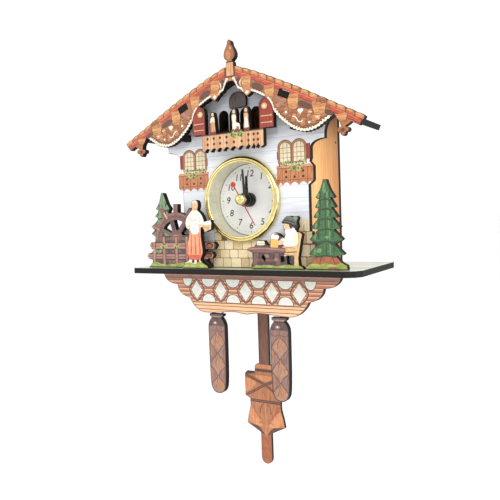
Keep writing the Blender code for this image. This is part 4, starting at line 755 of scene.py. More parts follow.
def rail(sheet):
    """Tan planks of the balcony with their cut-outs, and a dark strip of painted shadow along the top."""
    tips = (-24.6, -18.9, -13.3, -7.8, -1.7, 5, 11.5, 16.6, 20.2, 23.7)
    sheet.paint("rail_tan", rect(-27.5, 35, 27.5, 49.7))
    seams = [-27] + [(a + b) / 2 for a, b in zip(tips, tips[1:])] + [27]
    for index, (left, right) in enumerate(zip(seams, seams[1:])):
        if index % 2:
            sheet.paint("rail_light", rect(left, 35, right, 49))
    for x in tips:
        sheet.line("tile_orange", [(x, 36), (x, 48.8)], 0.3)
    for x in seams[1:-1]:
        sheet.line("lobe_dark", [(x, 38.6), (x, 48.8)], 0.22)
        for z in (46.4, 42.2):
            sheet.paint("lobe_dark", oval(x, z, 1.05, 1.15, 12))
            sheet.paint("hole", oval(x, z, 0.7, 0.8, 12))
    for x in (14.2, 18.4, 22):
        sheet.paint("hole", oval(x, 39.2, 0.6, 0.7, 10))
    sheet.line("lobe_dark", [(13.9, 37), (13.9, 49)], 0.5)
    # Painted shadow: a dark strip along the rail's top edge
    sheet.paint("plum", rect(-27.5, 48.7, 27.5, 50.2))
    sheet.line("tile_light", [(-27, 48.3), (27, 48.3)], 0.4)


def dancers(sheet):
    """Three small painted dolls and a fawn that stand on the balcony's rail."""
    sheet.paint("lobe_dark", rect(-20, 49.6, -13, 68), rect(-2, 50.2, 16, 69))
    for x, dress, sleeve in ((-16.5, "peach", "cream"), (2.1, "white", "cream"), (12.4, "white", "peach")):
        sheet.paint("trunk", [(x - 2.2, 61), (x + 2.4, 61), (x + 3.4, 51), (x - 3.2, 51)])
        sheet.paint(dress, [(x - 1.3, 60), (x + 1.2, 60), (x + 2.1, 52), (x - 1.6, 51.6)])
        sheet.line("mauve", [(x, 59), (x + 0.4, 52)], 0.3)
        sheet.line("mauve", [(x - 1, 58), (x - 1.4, 52)], 0.25)
        sheet.paint(sleeve, blob([(x - 2.2, 58.6), (x - 1.6, 61.6), (x, 62.3), (x + 1.6, 61.6),
            (x + 2.2, 58.8), (x + 1.2, 58.2), (x, 59.6), (x - 1.3, 58)]))
        sheet.paint("hair", oval(x + 0.1, 64.6, 1.75, 2, 14))
        sheet.paint("skin", oval(x + 0.15, 64.2, 1.15, 1.4, 14))
        sheet.paint("hair", oval(x - 0.25, 64.4, 0.16, 0.2, 8), oval(x + 0.6, 64.4, 0.16, 0.2, 8))
        sheet.line("coral", [(x - 0.1, 63.4), (x + 0.45, 63.4)], 0.16)
    sheet.paint("cream", blob([(0.6, 53.4), (1.4, 55.6), (3.6, 56), (6.6, 55.2), (7.2, 53.4), (6.9, 51.2),
        (6.2, 51), (6, 53), (3, 53), (2.8, 51), (2, 51.2), (1.8, 53)]))
    foliage(sheet, "leaf_light", 0, 47.6, 3.2, 1.9, 12)
    foliage(sheet, "leaf_light", 7.6, 47.6, 2.6, 1.6, 10)
    foliage(sheet, "leaf", 3.8, 47.2, 4.6, 2.3, 20)


def gable_print():
    sheet = Sheet("gable_front", "lobe")
    for side in (-1, 1):
        tile_rows(sheet, side)
        lobes(sheet, side)
    for side in (-1, 1):
        shingles(sheet, side)
        window_border(sheet, side)
        shutter(sheet, side)
    sheet.paint("lobe_dark", rect(-4.6, 89.4, 4.6, 101))
    sheet.paint("peach", rect(-3, 90.6, 3, 100.2))
    sheet.line("tile_orange", [(0.8, 90.6), (0.8, 100)], 0.5)
    sheet.paint("tile_tan", oval(0, 88, 1.4, 1.2, 12))
    sheet.both("cream", oval(2.6, 88.3, 0.9, 0.8, 12))
    finial = smooth([(2.2, 101.7), (4.6, 103.7), (5, 106.7), (3.8, 110.1), (2.1, 113.1), (1.7, 115.5),
        (0, 117.4)])
    sheet.paint("lobe", rect(-6, 100.6, 6, 118))
    sheet.paint("lobe_light", oval(-1, 106, 2, 3.4, 16, 12))
    sheet.line("lobe_dark", sideways(finial, 1.2), 0.4)
    sheet.paint("tile_light", oval(0.9, 110.6, 0.8, 1.3, 12, 15))
    sheet.line("char", [(-5, 100.6), (5, 100.6)], 0.7)
    for side in (-1, 1):
        x = 86.6 * side
        for dx, z in ((-2.7, 42.5), (0, 40.2), (2.8, 42.5)):
            sheet.paint("tile_orange", oval(x + dx, z, 2.4, 2.4, 16))
            sheet.line("lobe_dark", oval(x + dx, z, 1.1, 1.1, 12), 0.3, closed=True)
        sheet.paint("tile_orange", rect(x - 4, 43.4, x + 5, 47))
        sheet.paint("lobe_dark", oval(x, 42.2, 1.4, 1.4, 14))
    rail(sheet)
    dancers(sheet)
    return sheet.finish()


def door_print():
    sheet = Sheet("cuckoo_door", "door")
    for x in (-4.6, -1.6, 1.6, 4.6):
        sheet.line("door_dark", [(x, 66), (x, 82)], 0.4)
    sheet.line("umber", arc(0, 72, 5.4, 6.6, 10, 170, 14), 0.5)
    sheet.paint("door_dark", oval(0, 71, 0.9, 0.9, 12))
    sheet.paint("umber", oval(-0.15, 71.15, 0.45, 0.45, 10))
    return sheet.finish()


# ---- the apron ----
def apron_print():
    sheet = Sheet("apron", "apron_tan")
    for index in range(7):
        z = -62.4 - 3.05 * index
        sheet.paint("apron_red", rect(-80, z - 0.7, 80, z + 0.9))
        sheet.line("umber_dark", [(-80, z - 0.7), (80, z - 0.7)], 0.42)
        sheet.line("apron_light", [(-80, z - 1.3), (80, z - 1.3)], 0.35)
    sheet.paint("mauve", rect(-80, -61, 80, -56))
    sheet.line("lattice_dark", [(-80, -61.1), (80, -61.1)], 0.5)
    sheet.line("apron_tan", [(-80, -58.4), (80, -58.4)], 0.6)
    pitch, waist = 22.75, -70.6
    for k in range(-2, 3):
        x = k * pitch
        for side in (-1, 1):
            arch = [(x + side * (0.2 + 6.9 * math.sin(math.pi * t / 12)), waist + 8.9 - 17.8 * t / 12)
                for t in range(13)]
            sheet.line("umber_dark", arch, 0.95)
            sheet.line("apron_red", sideways(arch, -0.75 * side), 0.5)
        sheet.paint("umber_dark", diamond(x, waist, 5.9, 8))
        sheet.paint("lattice_white", diamond(x, waist, 5.4, 7.5))
    for k in range(-2, 2):
        x = (k + 0.5) * pitch
        sheet.paint("lattice_dark", arc(x, -61.4, 6.9, 6.9, 180, 360, 14),
            arc(x, -79.9, 6.9, 7, 0, 180, 14))
        sheet.paint("lattice_white", arc(x, -61.5, 6.2, 6.1, 180, 360, 14),
            arc(x, -79.6, 6.1, 6.1, 0, 180, 14))
    sheet.both("lattice_dark", arc(54.5, -61.4, 4.9, 6.9, 180, 360, 14))
    sheet.both("lattice_white", arc(54.5, -61.5, 4.3, 6.1, 180, 360, 14))
    sheet.paint("apron_light", rect(-60, -90, 60, -80.6))
    sheet.line("lattice_dark", [(-60, -80.4), (60, -80.4)], 0.5)
    for z in (-82.6, -85.6):
        sheet.line("umber", [(-60, z), (60, z)], 0.6)
    sheet.line("apron_red", sheet.outer(), 1.3, closed=True)
    return sheet.finish()


# ---- scenery ----
GRASS_LINE = -51.4        # dark line along the foot of every scenery board
MILL_HUB = (-57, -28)
TREE_MIDDLE = 71.5


def meadow(sheet, hills, places, bush, ends):
    """Grass at a board's foot, low bushes of one (height, half width, half height), and a dark line."""
    height, across, up = bush
    sheet.paint("grass", blob(hills))
    for x in places:
        sheet.paint("leaf_light", leafy(x, height, across, up))
    sheet.line("leaf_dark", [(end, GRASS_LINE) for end in ends], 0.5)


def at_hub(reach, a):
    return (MILL_HUB[0] + reach * math.cos(a), MILL_HUB[1] + reach * math.sin(a))


def spruce_tier(sheet, middle, height, reach, rise, tones):
    """One tier of branches: dark below, with lit tufts on its lower edge."""
    mid, light, dark = tones
    skirt = [(middle - reach, height), (middle - reach * 0.5, height - 1.2), (middle, height - 0.4),
        (middle + reach * 0.5, height - 1.3), (middle + reach, height),
        (middle + reach * 0.5, height + rise * 0.6), (middle, height + rise),
        (middle - reach * 0.5, height + rise * 0.6)]
    sheet.paint(dark, shift(skirt, 0, -1.1))
    sheet.paint(mid, skirt)
    for row, (share, depth) in enumerate(((0.88, 0), (0.7, 0.3), (0.5, 0.55))):
        count = 9 - 2 * row
        for k in range(count):
            side = -1 + 2 * (k + 0.5) / count
            x = middle + reach * share * side
            z = height + 0.5 + rise * depth * (1 - 0.5 * abs(side))
            lean = 1.5 * side
            needle = [(x - 0.5, z + 2.2), (x + 0.35, z + 2.3), (x + lean + 0.25, z - 0.8),
                (x + lean - 0.35, z - 0.5)]
            sheet.paint((dark, light, dark, mid)[(k + row) % 4], needle)


def spruce_print():
    sheet = Sheet("spruce_tree", "spruce_dark")
    tones = ("spruce", "spruce_light", "spruce_dark")
    sheet.paint("trunk", [(55, -42), (88, -42), (88, -53), (55, -53)])
    sheet.line("lobe_dark", [(68, -42), (66.6, -47)], 0.6)
    sheet.line("lobe_dark", [(75.6, -42), (77.6, -47)], 0.6)
    for height, reach in ((-41, 13.4), (-31, 12.6), (-22.6, 11.1), (-15.4, 9.2), (-8.6, 7.8), (-2, 7.2)):
        spruce_tier(sheet, TREE_MIDDLE, height, reach, 9, tones)
    sheet.paint("spruce", [(67.2, 2), (75.8, 2), (73.4, 7.6), (72.8, 11.4), (70.2, 11.4), (69.6, 7.6)])
    sheet.paint("spruce_light", [(69.4, 2.4), (71.2, 2.2), (71.6, 8), (70.8, 8.4)],
        oval(71.3, 2.6, 1, 1.4, 10))
    sheet.paint("spruce_light", oval(66.2, -38.4, 2, 1.6, 12, 20), oval(72, -29.2, 1.4, 1, 12))
    sheet.paint("grass", blob([(54, -53), (56.8, -49.6), (61, -47.4), (66, -48.2), (72, -47.2), (78, -48.4),
        (83, -46.6), (88, -49.4), (88, -53)]))
    sheet.paint("leaf_light", leafy(63, -48.6, 3.6, 1), leafy(75, -49, 3.8, 1))
    sheet.paint("trunk", blob([(73, -50.2), (78, -49.8), (81, -51), (77, -51.8), (73, -51.6)]))
    sheet.line("leaf_dark", [(56, GRASS_LINE), (87, GRASS_LINE)], 0.5)
    return sheet.finish()


def mill_print():
    sheet = Sheet("mill_scenery", "mill_dark")
    tones = ("mist_green", "spruce_light", "spruce_dark")
    for height, reach, x in ((-40, 13, -72.5), (-28, 12, -71.5), (-19, 11.4, -71), (-11, 8.6, -70.4),
            (-4.2, 8, -69.6)):
        spruce_tier(sheet, x, height, reach, 8.6, tones)
    sheet.paint("mist_green", [(-74, 0), (-64, 0), (-67, 8.8), (-70.8, 8.8)])
    sheet.paint("spruce_light", [(-70.6, -1.6), (-68.2, -2.2), (-68.6, 3), (-69.8, 3.4)])
    sheet.paint("mill_dark", oval(*MILL_HUB, 15.2, 15.2, 40))
    sheet.paint("leaf_dark", leafy(-66, -24, 7, 5), leafy(-48, -30, 6, 4))
    sheet.paint("spruce", leafy(-66.5, -22.4, 4, 3))
    sheet.paint("mist_green", leafy(-65.6, -24.6, 3, 2))
    sheet.line("mill", oval(*MILL_HUB, 17.4, 17.4, 48), 6.2, closed=True)
    sheet.line("mill_dark", oval(*MILL_HUB, 17.2, 17.2, 48), 0.5, closed=True)
    sheet.line("fence", oval(*MILL_HUB, 19.2, 19.2, 48), 0.5, closed=True)
    for spoke in range(12):
        a = math.radians(22 + 33 * spoke)
        c, s = math.cos(a), math.sin(a)
        sheet.line("mill", [at_hub(2, a), at_hub(15.5, a)], 2.1)
        sheet.line("mill_dark", [(x - 0.8 * s, z + 0.8 * c) for x, z in (at_hub(20, a), at_hub(14.6, a))],
            0.4)
        sheet.paint("mill", [at_hub(r, a + d) for r, d in ((19, -0.09), (28, -0.09), (28, 0.09),
            (19, 0.09))])
    sheet.paint("fence", oval(*MILL_HUB, 2.6, 2.6, 16))
    sheet.line("chair", [(-68.4, -7.6), (-65.2, -12.6)], 1.2)
    sheet.line("fence", [(-81, -18.2), (-73.4, -21.4)], 1.1)
    for top, low, left in ((-31.6, -37.2, -84), (-40.6, -45.2, -87)):
        sheet.paint("mill_dark", [(left - 1, low - 0.7), (-21, low - 0.5), (-21, top + 0.6),
            (left - 1, top + 0.8)])
        sheet.paint("fence", [(left + 0.6, low + 0.6), (-21, low + 0.4), (-21, top - 0.6),
            (left + 0.6, top - 0.7)])
        sheet.line("mill", [(left + 2, (top + low) / 2), (-46, (top + low) / 2 - 0.3)], 0.8)
    for x in (-79.6, -69.4, -57, -46.6):
        sheet.paint("mill_dark", rect(x - 1.7, -50, x + 1.9, -26.6))
        sheet.paint("fence", rect(x - 1.2, -50, x + 1, -27.2))
    sheet.paint("hole", oval(-25, -34.4, 3.4, 2.2, 14), oval(-26, -41.8, 3, 1.9, 14))
    sheet.paint("trunk", oval(-25.4, -34.6, 2.3, 1.4, 12), oval(-26.4, -42, 2, 1.1, 12))
    foliage(sheet, "leaf_light", -69.6, -34.6, 4, 2, 16)
    foliage(sheet, "leaf_light", -57.2, -34.8, 3.2, 1.7, 12)
    foliage(sheet, "mist_green", -76, -39, 4, 1.6, 12)
    meadow(sheet, [(-88, -53), (-83, -48.6), (-77, -47.6), (-70, -49.6), (-60, -49), (-50, -47.6),
        (-42, -49.4), (-34, -48), (-24, -49.8), (-22, -53)], (-80, -71, -61, -50, -40, -31), (-49.9, 3, 1),
        (-86, -24))
    return sheet.finish()


def doll_face(sheet, x, z, size):
    """A plain doll's face: two dot eyes, a short nose line, a small mouth and rosy cheeks."""
    sheet.paint("skin", oval(x, z, size, size * 1.2, 18))
    sheet.paint("skirt", oval(x - 0.5 * size, z - 0.35 * size, 0.2 * size, 0.14 * size, 10),
        oval(x + 0.5 * size, z - 0.35 * size, 0.2 * size, 0.14 * size, 10))
    sheet.paint("hair", oval(x - 0.36 * size, z + 0.12 * size, 0.1 * size, 0.13 * size, 10),
        oval(x + 0.36 * size, z + 0.12 * size, 0.1 * size, 0.13 * size, 10))
    sheet.line("skirt", [(x, z + 0.05 * size), (x + 0.05 * size, z - 0.22 * size)], 0.09 * size)
    sheet.line("coral", arc(x, z - 0.4 * size, 0.26 * size, 0.14 * size, 200, 340, 5), 0.1 * size)


def woman_print():
    sheet = Sheet("woman_figure", "cream")
    sheet.paint("chair", oval(-34.4, -2.6, 3.8, 4.6, 20))
    sheet.paint("cream", blob([(-31.2, -1), (-32, 1.6), (-35, 2.2), (-37.6, 0.2), (-38.2, -3),
        (-36.2, -1.2)]))
    doll_face(sheet, -33.9, -2.7, 1.8)
    sheet.paint("chair", [(-36.6, -5.6), (-31.8, -6), (-32, -8.2), (-36.4, -8.2)])
    sheet.paint("white", blob([(-42.4, -10.6), (-38, -7.6), (-32, -7.4), (-28.4, -10.6), (-27, -14.8),
        (-29.6, -17), (-33.6, -16.6), (-38, -17.4), (-43.6, -18.6)]))
    for points in ([(-37.6, -8.2), (-35, -12.6), (-34.6, -16.4)], [(-32.8, -7.8), (-33.2, -12), (-34, -16)],
            [(-41.6, -12.6), (-40.4, -16.8), (-41, -20.2)]):
        sheet.line("stone_mid", smooth(points), 0.45)
    sheet.line("stone_mid", smooth([(-36.2, -12), (-34.8, -13.2), (-32.6, -12)]), 0.5)
    sheet.paint("cream", blob([(-40.8, -12.8), (-38.6, -11.6), (-37.6, -14.6), (-39.2, -17),
        (-41.4, -16.2)]))
    sheet.paint("skin", blob([(-41.8, -18.8), (-38, -18), (-33, -18.8), (-29.6, -17.6), (-29.2, -19.2),
        (-33.6, -20.8), (-38.6, -20.4), (-41.8, -20.8)]))
    sheet.paint("skirt", [(-40.8, -20.6), (-29.2, -20), (-28.2, -36), (-28.4, -41), (-30.4, -45),
        (-41.8, -45), (-44, -40.6), (-43.8, -36.4), (-41.4, -29.4)])
    sheet.paint("white", blob([(-39.4, -18.8), (-35.6, -17.2), (-31.4, -19.4), (-32, -24.4), (-36.6, -25.2),
        (-39, -22.8)]))
    for x, top, low, lean in ((-42.2, -34, -43, -0.8), (-38.8, -25.8, -43.6, -0.6), (-35.4, -26, -44, 0.2),
            (-31.6, -24, -43.4, 0.8)):
        sheet.paint("skirt_red", [(x, top), (x + lean - 0.9, low), (x + lean + 1, low), (x + 0.6, top)])
    sheet.paint("skirt_red", blob([(-44.2, -40), (-40, -41.6), (-34, -40.8), (-28.2, -41), (-29.6, -44.6),
        (-36, -45.2), (-42.4, -44.4)]))
    sheet.line("gold_line", smooth([(-44, -39.4), (-36, -41), (-28.4, -40.4)]), 0.5)
    sheet.paint("hair", [(-38.6, -44.8), (-36.4, -44.8), (-36.6, -47.6), (-39.2, -47.4)],
        [(-34.4, -44.8), (-32.2, -44.8), (-31.6, -47.4), (-34.4, -47.6)])
    for points in ([(-40.6, -12), (-37.6, -14.4), (-33, -14)],
            [(-36.6, -20.4), (-34.6, -22.8), (-32.6, -21.4)], [(-30.6, -11.4), (-29.6, -14.4),
            (-31.4, -16.6)]):
        sheet.line("frame_tan", smooth(points), 0.35)
    sheet.paint("chair", [(-28, -17.2), (-20.2, -17), (-20.6, -22.4), (-25.4, -23.2), (-28.2, -20)])
    sheet.paint("white", blob([(-28.6, -17.4), (-25.8, -15.2), (-20.4, -14.8), (-19.6, -17.8),
        (-24, -18.6)]))
    for x in (-26.4, -24.4, -22.4):
        sheet.line("frame_tan", [(x, -18.6), (x - 0.2, -22.4)], 0.3)
    sheet.line("frame_tan", [(-27.4, -20.4), (-20.6, -20.2)], 0.3)
    meadow(sheet, [(-48.6, -53), (-46, -48.2), (-41, -47.2), (-36, -48.2), (-31, -46.6), (-24, -49.8),
        (-23.6, -53)], (-44, -38, -30), (-49.6, 2.6, 1), (-47, -24.6))
    return sheet.finish()


def table_print():
    sheet = Sheet("table_scenery", "mill_dark")
    sheet.paint("chair", [(46.6, -25.4), (54.4, -24.6), (52.8, -31), (51.6, -38), (50.6, -44),
        (50.8, -49.4), (46.8, -49.4), (47, -41.6), (39.4, -41), (39.2, -38.6), (47.6, -38.8), (47.6, -31)])
    for x in (48.4, 50.2):
        sheet.line("frame_tan", [(x + 0.8, -26), (x - 0.4, -38)], 0.35)
    sheet.paint("frame_dark", [(39.2, -34.4), (48.4, -34.2), (49, -39.6), (38.4, -40.2)])
    sheet.paint("chair", blob([(38, -35.6), (43, -34.2), (48.6, -34.8), (48.8, -38.6), (43, -39.2),
        (38.6, -39.4)]))
    sheet.line("frame_tan", smooth([(38.8, -36.6), (43, -36.2), (48, -36.8)]), 0.5)
    sheet.paint("white", blob([(40.2, -23.6), (44.4, -21.6), (48.8, -23.4), (50.2, -28.4), (49.6, -34),
        (43, -35.4), (38.6, -34.2), (36.4, -30.6), (38.4, -28.6), (39.8, -26.6)]))
    for points in ([(42.4, -24), (41.4, -28.6), (42, -34)], [(46.8, -24.6), (46.2, -30), (47, -34.4)],
            [(38.2, -31.2), (41, -32.6), (44, -32)]):
        sheet.line("stone_mid", smooth(points), 0.45)
    sheet.paint("stone_mid", blob([(46.4, -25.6), (49.2, -26.4), (49.4, -33), (47.2, -33.6),
        (47.8, -29.4)]))
    sheet.paint("skin", blob([(34.2, -31.6), (37.2, -30.8), (39.6, -32.4), (37, -34.2), (34, -33.8)]))
    sheet.paint("skin", [(39, -18.6), (45.4, -18.4), (45.8, -21.8), (42.6, -23.8), (39.2, -22.4)])
    doll_face(sheet, 41.4, -20.8, 1.9)
    sheet.paint("hair", blob([(43.4, -18.6), (46.2, -18.8), (45.8, -22.6), (44.2, -22.4)]))
    sheet.paint("hat", blob([(39.4, -17.6), (40.4, -14.6), (43.4, -13.2), (46.4, -14.2), (49.4, -13.6),
        (51.2, -15.4), (49.2, -18.4), (48.2, -20.2), (44, -19)]))
    sheet.line("hat_dark", smooth([(36.8, -18.6), (39.6, -18.4), (43.6, -19.2), (48.8, -21.2)]), 1.1)
    sheet.line("hat_dark", smooth([(39.6, -16.6), (43.6, -17.2), (48.4, -18.8)]), 0.8)
    sheet.paint("mist_green", blob([(46.4, -14.6), (48.8, -13.8), (50.6, -15.2), (48.4, -17)]))
    sheet.paint("hat_dark", blob([(48.2, -20.2), (50.4, -20.6), (49.8, -24), (48, -23.4)]))
    sheet.paint("beer", rounded(28.2, -36.2, 34.4, -28.8, 0.9))
    for x in (29.8, 31.4, 33):
        sheet.line("gold_line", [(x, -29.6), (x, -35.8)], 0.35)
    sheet.paint("white", blob([(28, -29.4), (28.4, -26.6), (31.4, -25), (34.8, -26), (35, -29.4),
        (32.6, -30.2), (30.4, -29.6)]))
    sheet.line("frame_dark", smooth([(31, -26.4), (34, -26.8), (36.4, -28.4), (38, -30)]), 0.8)
    sheet.paint("cream", rounded(16.8, -34.4, 23.4, -30.9, 0.8))
    sheet.line("frame_tan", [(17.4, -33), (22.8, -33)], 0.35)
    sheet.paint("mill", [(7.4, -36.2), (14, -34.8), (27, -36), (40, -36.4), (40.4, -39.8), (24, -40.4),
        (12, -39.8), (7.2, -38.2)])
    sheet.line("fence", [(9, -37), (24, -36.8), (39.6, -38)], 0.8)
    sheet.line("mill_dark", [(10, -39.6), (24, -40.2), (40, -39.8)], 0.6)
    sheet.paint("mill", [(14.4, -40.4), (18, -40.4), (16.4, -49.6), (12.8, -49.6)],
        [(31, -40.4), (34.2, -40.4), (36.2, -49.6), (32.8, -49.6)])
    sheet.line("umber", [(14.6, -45.4), (35, -45.4)], 1.4)
    sheet.paint("mauve", oval(24.4, -42.4, 2.2, 1.6, 12), oval(32.4, -44.8, 1.6, 1.2, 12))
    sheet.paint("chair", [(38.8, -41.4), (46.8, -41.4), (46.8, -42.4), (38.8, -42.4)])
    meadow(sheet, [(10.6, -53), (12.6, -50.6), (19, -49.4), (26, -48.8), (33, -49.6), (40, -48.6),
        (47, -49.2), (54.8, -49.6), (55, -53)], (17, 27, 37, 48), (-50, 2.8, 0.9), (12, 54))
    return sheet.finish()


# ---- weights and pendulum ----
def weight_print(node):
    sheet = Sheet(node, "cone")
    low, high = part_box(node)
    x = ((low.x + high.x) / 2 - CENTRE.x) / MM
    top = (high.z - CENTRE.z) / MM
    sheet.paint("cone_dark", rect(x - 8, top - 12, x + 8, top + 1))
    sheet.paint("cone_light", rect(x - 6.4, top - 2.7, x + 6.4, top - 1.6))
    sheet.line("char", [(x - 5, top - 3.3), (x + 5, top - 3.3)], 0.4)
    for lean in (-1, 1):
        scale = arc(x + 3.9 * lean, top - 9.6, 4.3, 4.6, 180, 360, 12)
        sheet.paint("cone", scale)
        sheet.line("umber_dark", scale, 0.45)
    sheet.paint("cone_dark", blob([(x - 6.8, top - 6), (x + 6.8, top - 6), (x + 7.6, top - 10),
        (x, top - 9), (x - 7.6, top - 10)]))
    for row in range(7):
        z = top - 14.4 - 9 * row
        for middle in ((x,), (x - 7.4, x + 7.4))[row % 2]:
            scale = smooth([(middle - 7.6, z - 9.6), (middle - 4.6, z - 4.4), (middle - 1.6, z - 1.6),
                (middle, z + 1), (middle + 1.6, z - 1.6), (middle + 4.6, z - 4.4), (middle + 7.6, z - 9.6)],
                4)
            sheet.paint(("cone_light", "cone")[row % 2], scale + [(middle, z - 18.6)])
            sheet.line("umber_dark", scale, 0.6)
            sheet.line("lattice_dark", smooth([(middle, z - 1), (middle - 1.6, z - 5.6),
                (middle - 2.2, z - 9.6)]), 0.4)
            sheet.line("sienna", smooth([(middle + 0.8, z - 2.6), (middle + 1.8, z - 6.6),
                (middle + 1.2, z - 10.6)]), 1.2)
    sheet.line("cone_dark", sheet.outer(), 1.6, closed=True)
    sheet.paint("frame_tan", oval(x, top - 57.4, 1.6, 2.6, 16))
    sheet.paint("mauve", oval(x - 1.4, top - 7.4, 2.2, 1.5, 14))
    sheet.paint("white", oval(x - 1.4, top - 7.2, 0.7, 0.6, 12))
    return sheet.finish()


def pendulum_print():
    sheet = Sheet("pendulum_board", "sienna")
    sheet.paint("umber", rect(-6, -133.4, 6, -30))
    sheet.line("umber_dark", [(-4.1, -38), (-4.1, -133)], 0.8)
    sheet.line("umber_dark", [(3.9, -38), (3.9, -133)], 0.5)
    sheet.paint("sienna_light", rect(-9, -136.6, 9, -133.4))
    sheet.paint("umber_dark", rect(-9.4, -139.4, 9.4, -137.2))
    sheet.both("umber_dark", [(-19, -139.6), (-9.2, -139.6), (-9.2, -141.6), (-16.8, -142.4), (-19, -145)])
    sheet.paint("sienna_light", blob([(-18, -146), (-8, -149.4), (-18, -157)]),
        blob([(18, -146), (8, -149.4), (18, -157)]), blob([(-9, -143), (0, -147.4), (9, -143)]))
    for side in (-1, 1):
        strap = smooth([(-18.6 * side, -142.8), (-8 * side, -146.6), (0, -150), (8 * side, -154.6),
            (18.6 * side, -160.4)])
        sheet.line("umber_dark", strap, 2.2)
        sheet.line("umber", strap, 0.9)
    sheet.paint("umber_dark", rect(-16, -165, 16, -162.5))
    sheet.line("umber", [(-15, -163.8), (15, -163.8)], 0.6)
    for side in (-1, 1):
        sheet.line("umber", smooth([(2 * side, -165.5), (4.6 * side, -170), (5 * side, -174)]), 1)
        sheet.line("trunk", smooth([(12.6 * side, -167), (8.4 * side, -173.6), (2.4 * side, -180.4)]), 0.9)
        sheet.paint("sienna_light", blob([(13.4 * side, -171), (6.4 * side, -178.6), (3 * side, -184.2),
            (9 * side, -184.4), (15.6 * side, -180.6)]))
        sheet.line("umber", smooth([(1.8 * side, -182.4), (4 * side, -181), (6.6 * side, -182.4)]), 0.5)
        sheet.paint("umber_dark", [(17.8 * side, -183), (7.2 * side, -184.6), (3.8 * side, -187.4),
            (0.6 * side, -192.2), (2.2 * side, -191.4), (6.4 * side, -189.2)])
    sheet.line("sienna_light", [(0, -165.5), (0, -190.4)], 0.7)
    sheet.paint("trunk", [(-5.4, -190), (-2.2, -191.2), (0, -193.2), (2.2, -191.2), (5.4, -190),
        (5.4, -217), (-5.4, -217)])
    sheet.line("umber", [(-3.9, -190.5), (-3.9, -211)], 0.5)
    sheet.line("umber", [(3.9, -190.5), (3.9, -211)], 0.5)
    return sheet.finish()


# ---- dial, bezel and hands ----
def lathe(name, profile, node, material, segments=144):
    """A smooth turned piece about the dial's axis from (radius, y) points, in place of a CAD node."""
    rings = []
    for radius, y in profile:
        if radius < 1e-6:
            rings.append([(CENTRE.x, y, CENTRE.z)])
            continue
        rings.append([(CENTRE.x + radius * math.cos(a), y, CENTRE.z + radius * math.sin(a))
            for a in (2 * math.pi * k / segments for k in range(segments))])
    spots = [spot for ring in rings for spot in ring]
    starts = np.cumsum([0] + [len(ring) for ring in rings])
    closed = profile[0][0] > 1e-6
    pairs = list(zip(range(len(rings)), range(1, len(rings)))) + ([(len(rings) - 1, 0)] if closed else [])
    faces = []
    for a, b in pairs:
        for k in range(segments):
            m = (k + 1) % segments
            corner = [starts[a] + (k if len(rings[a]) > 1 else 0),
                starts[a] + (m if len(rings[a]) > 1 else 0), starts[b] + (m if len(rings[b]) > 1 else 0),
                starts[b] + (k if len(rings[b]) > 1 else 0)]
            faces.append(tuple(dict.fromkeys(int(c) for c in corner)))
    mesh = bpy.data.meshes.new(name)
    mesh.from_pydata(spots, [], faces)
    mesh.shade_smooth()
    mesh.set_sharp_from_angle(angle=math.radians(40))
    mesh.materials.append(material)
    piece = place_piece(name, mesh, BODY_OF[node])
    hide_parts(node)
    return piece


def bezel(gold, wall):
    """The plated bezel: a round outer roll, a bead and a plain inner wall down to the dial, which wears a
    paler, less metallic copy of the plating as painted light.
    """
    front, rear = BEZEL_LOW.y, BEZEL_HIGH.y
    outer = (BEZEL_HIGH.x - BEZEL_LOW.x) / 2
    inner = outer - BEZEL_RIM * MM
    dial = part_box("dial_plate")[1].y
    roll = [(outer - 2.9 * MM + 2.9 * MM * math.cos(a), front + 3.4 * MM - 3.3 * MM * math.sin(a))
        for a in (math.radians(-8 + 98 * k / 12) for k in range(13))]
    bead = [(inner + 1.05 * MM + 1.05 * MM * math.cos(a), front + 1.1 * MM - 1.1 * MM * math.sin(a))
        for a in (math.radians(50 + 130 * k / 8) for k in range(9))]
    profile = [(inner, dial + 0.3 * MM), *bead[::-1], (inner + 2.0 * MM, front + 0.75 * MM), *roll[::-1],
        (outer - 0.5 * MM, WALL_FACE - 0.3 * MM), (outer - 2.8 * MM, WALL_FACE - 0.3 * MM),
        (outer - 2.8 * MM, rear), (inner, rear)]
    piece = lathe("dial_bezel_plated", profile, "dial_bezel", gold)
    # Painted light: the inner wall next to the dial takes a paler, less metallic copy of the plating
    piece.data.materials.append(wall)
    for face in piece.data.polygons:
        corners = [piece.data.vertices[i].co for i in face.vertices]
        reach = max(math.hypot(corner.x - CENTRE.x, corner.z - CENTRE.z) for corner in corners)
        if reach < inner + 0.2 * MM and max(corner.y for corner in corners) < dial + 1.0 * MM:
            face.material_index = 1
    return piece


def cap(gold):
    low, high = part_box("second_cap")
    radius, rise = (high.x - low.x) / 2, high.y - low.y
    dome = [(radius * math.sin(a), high.y - 0.9 * MM - (rise - 0.9 * MM) * math.cos(a))
        for a in (math.radians(90 * k / 12) for k in range(13))]
    return lathe("second_cap_dome", [*dome, (radius, high.y), (0.0, high.y)], "second_cap", gold, 72)


def figure_mesh(text):
    """A thin raised figure that lies on its back."""
    words = bpy.data.curves.new("figure", "FONT")
    words.body = text
    words.size = NUMERAL_HEIGHT * MM
    words.align_x, words.align_y = "CENTER", "CENTER"
    words.extrude = 0.03 * MM
    words.offset = 0.06 * MM
    words.shear = 0.15
    holder = bpy.data.objects.new("figure", words)
    bpy.context.scene.collection.objects.link(holder)
    bpy.context.view_layer.update()
    shape = bpy.data.meshes.new_from_object(holder.evaluated_get(bpy.context.evaluated_depsgraph_get()))
    bpy.data.objects.remove(holder)
    bpy.data.curves.remove(words)
    return shape


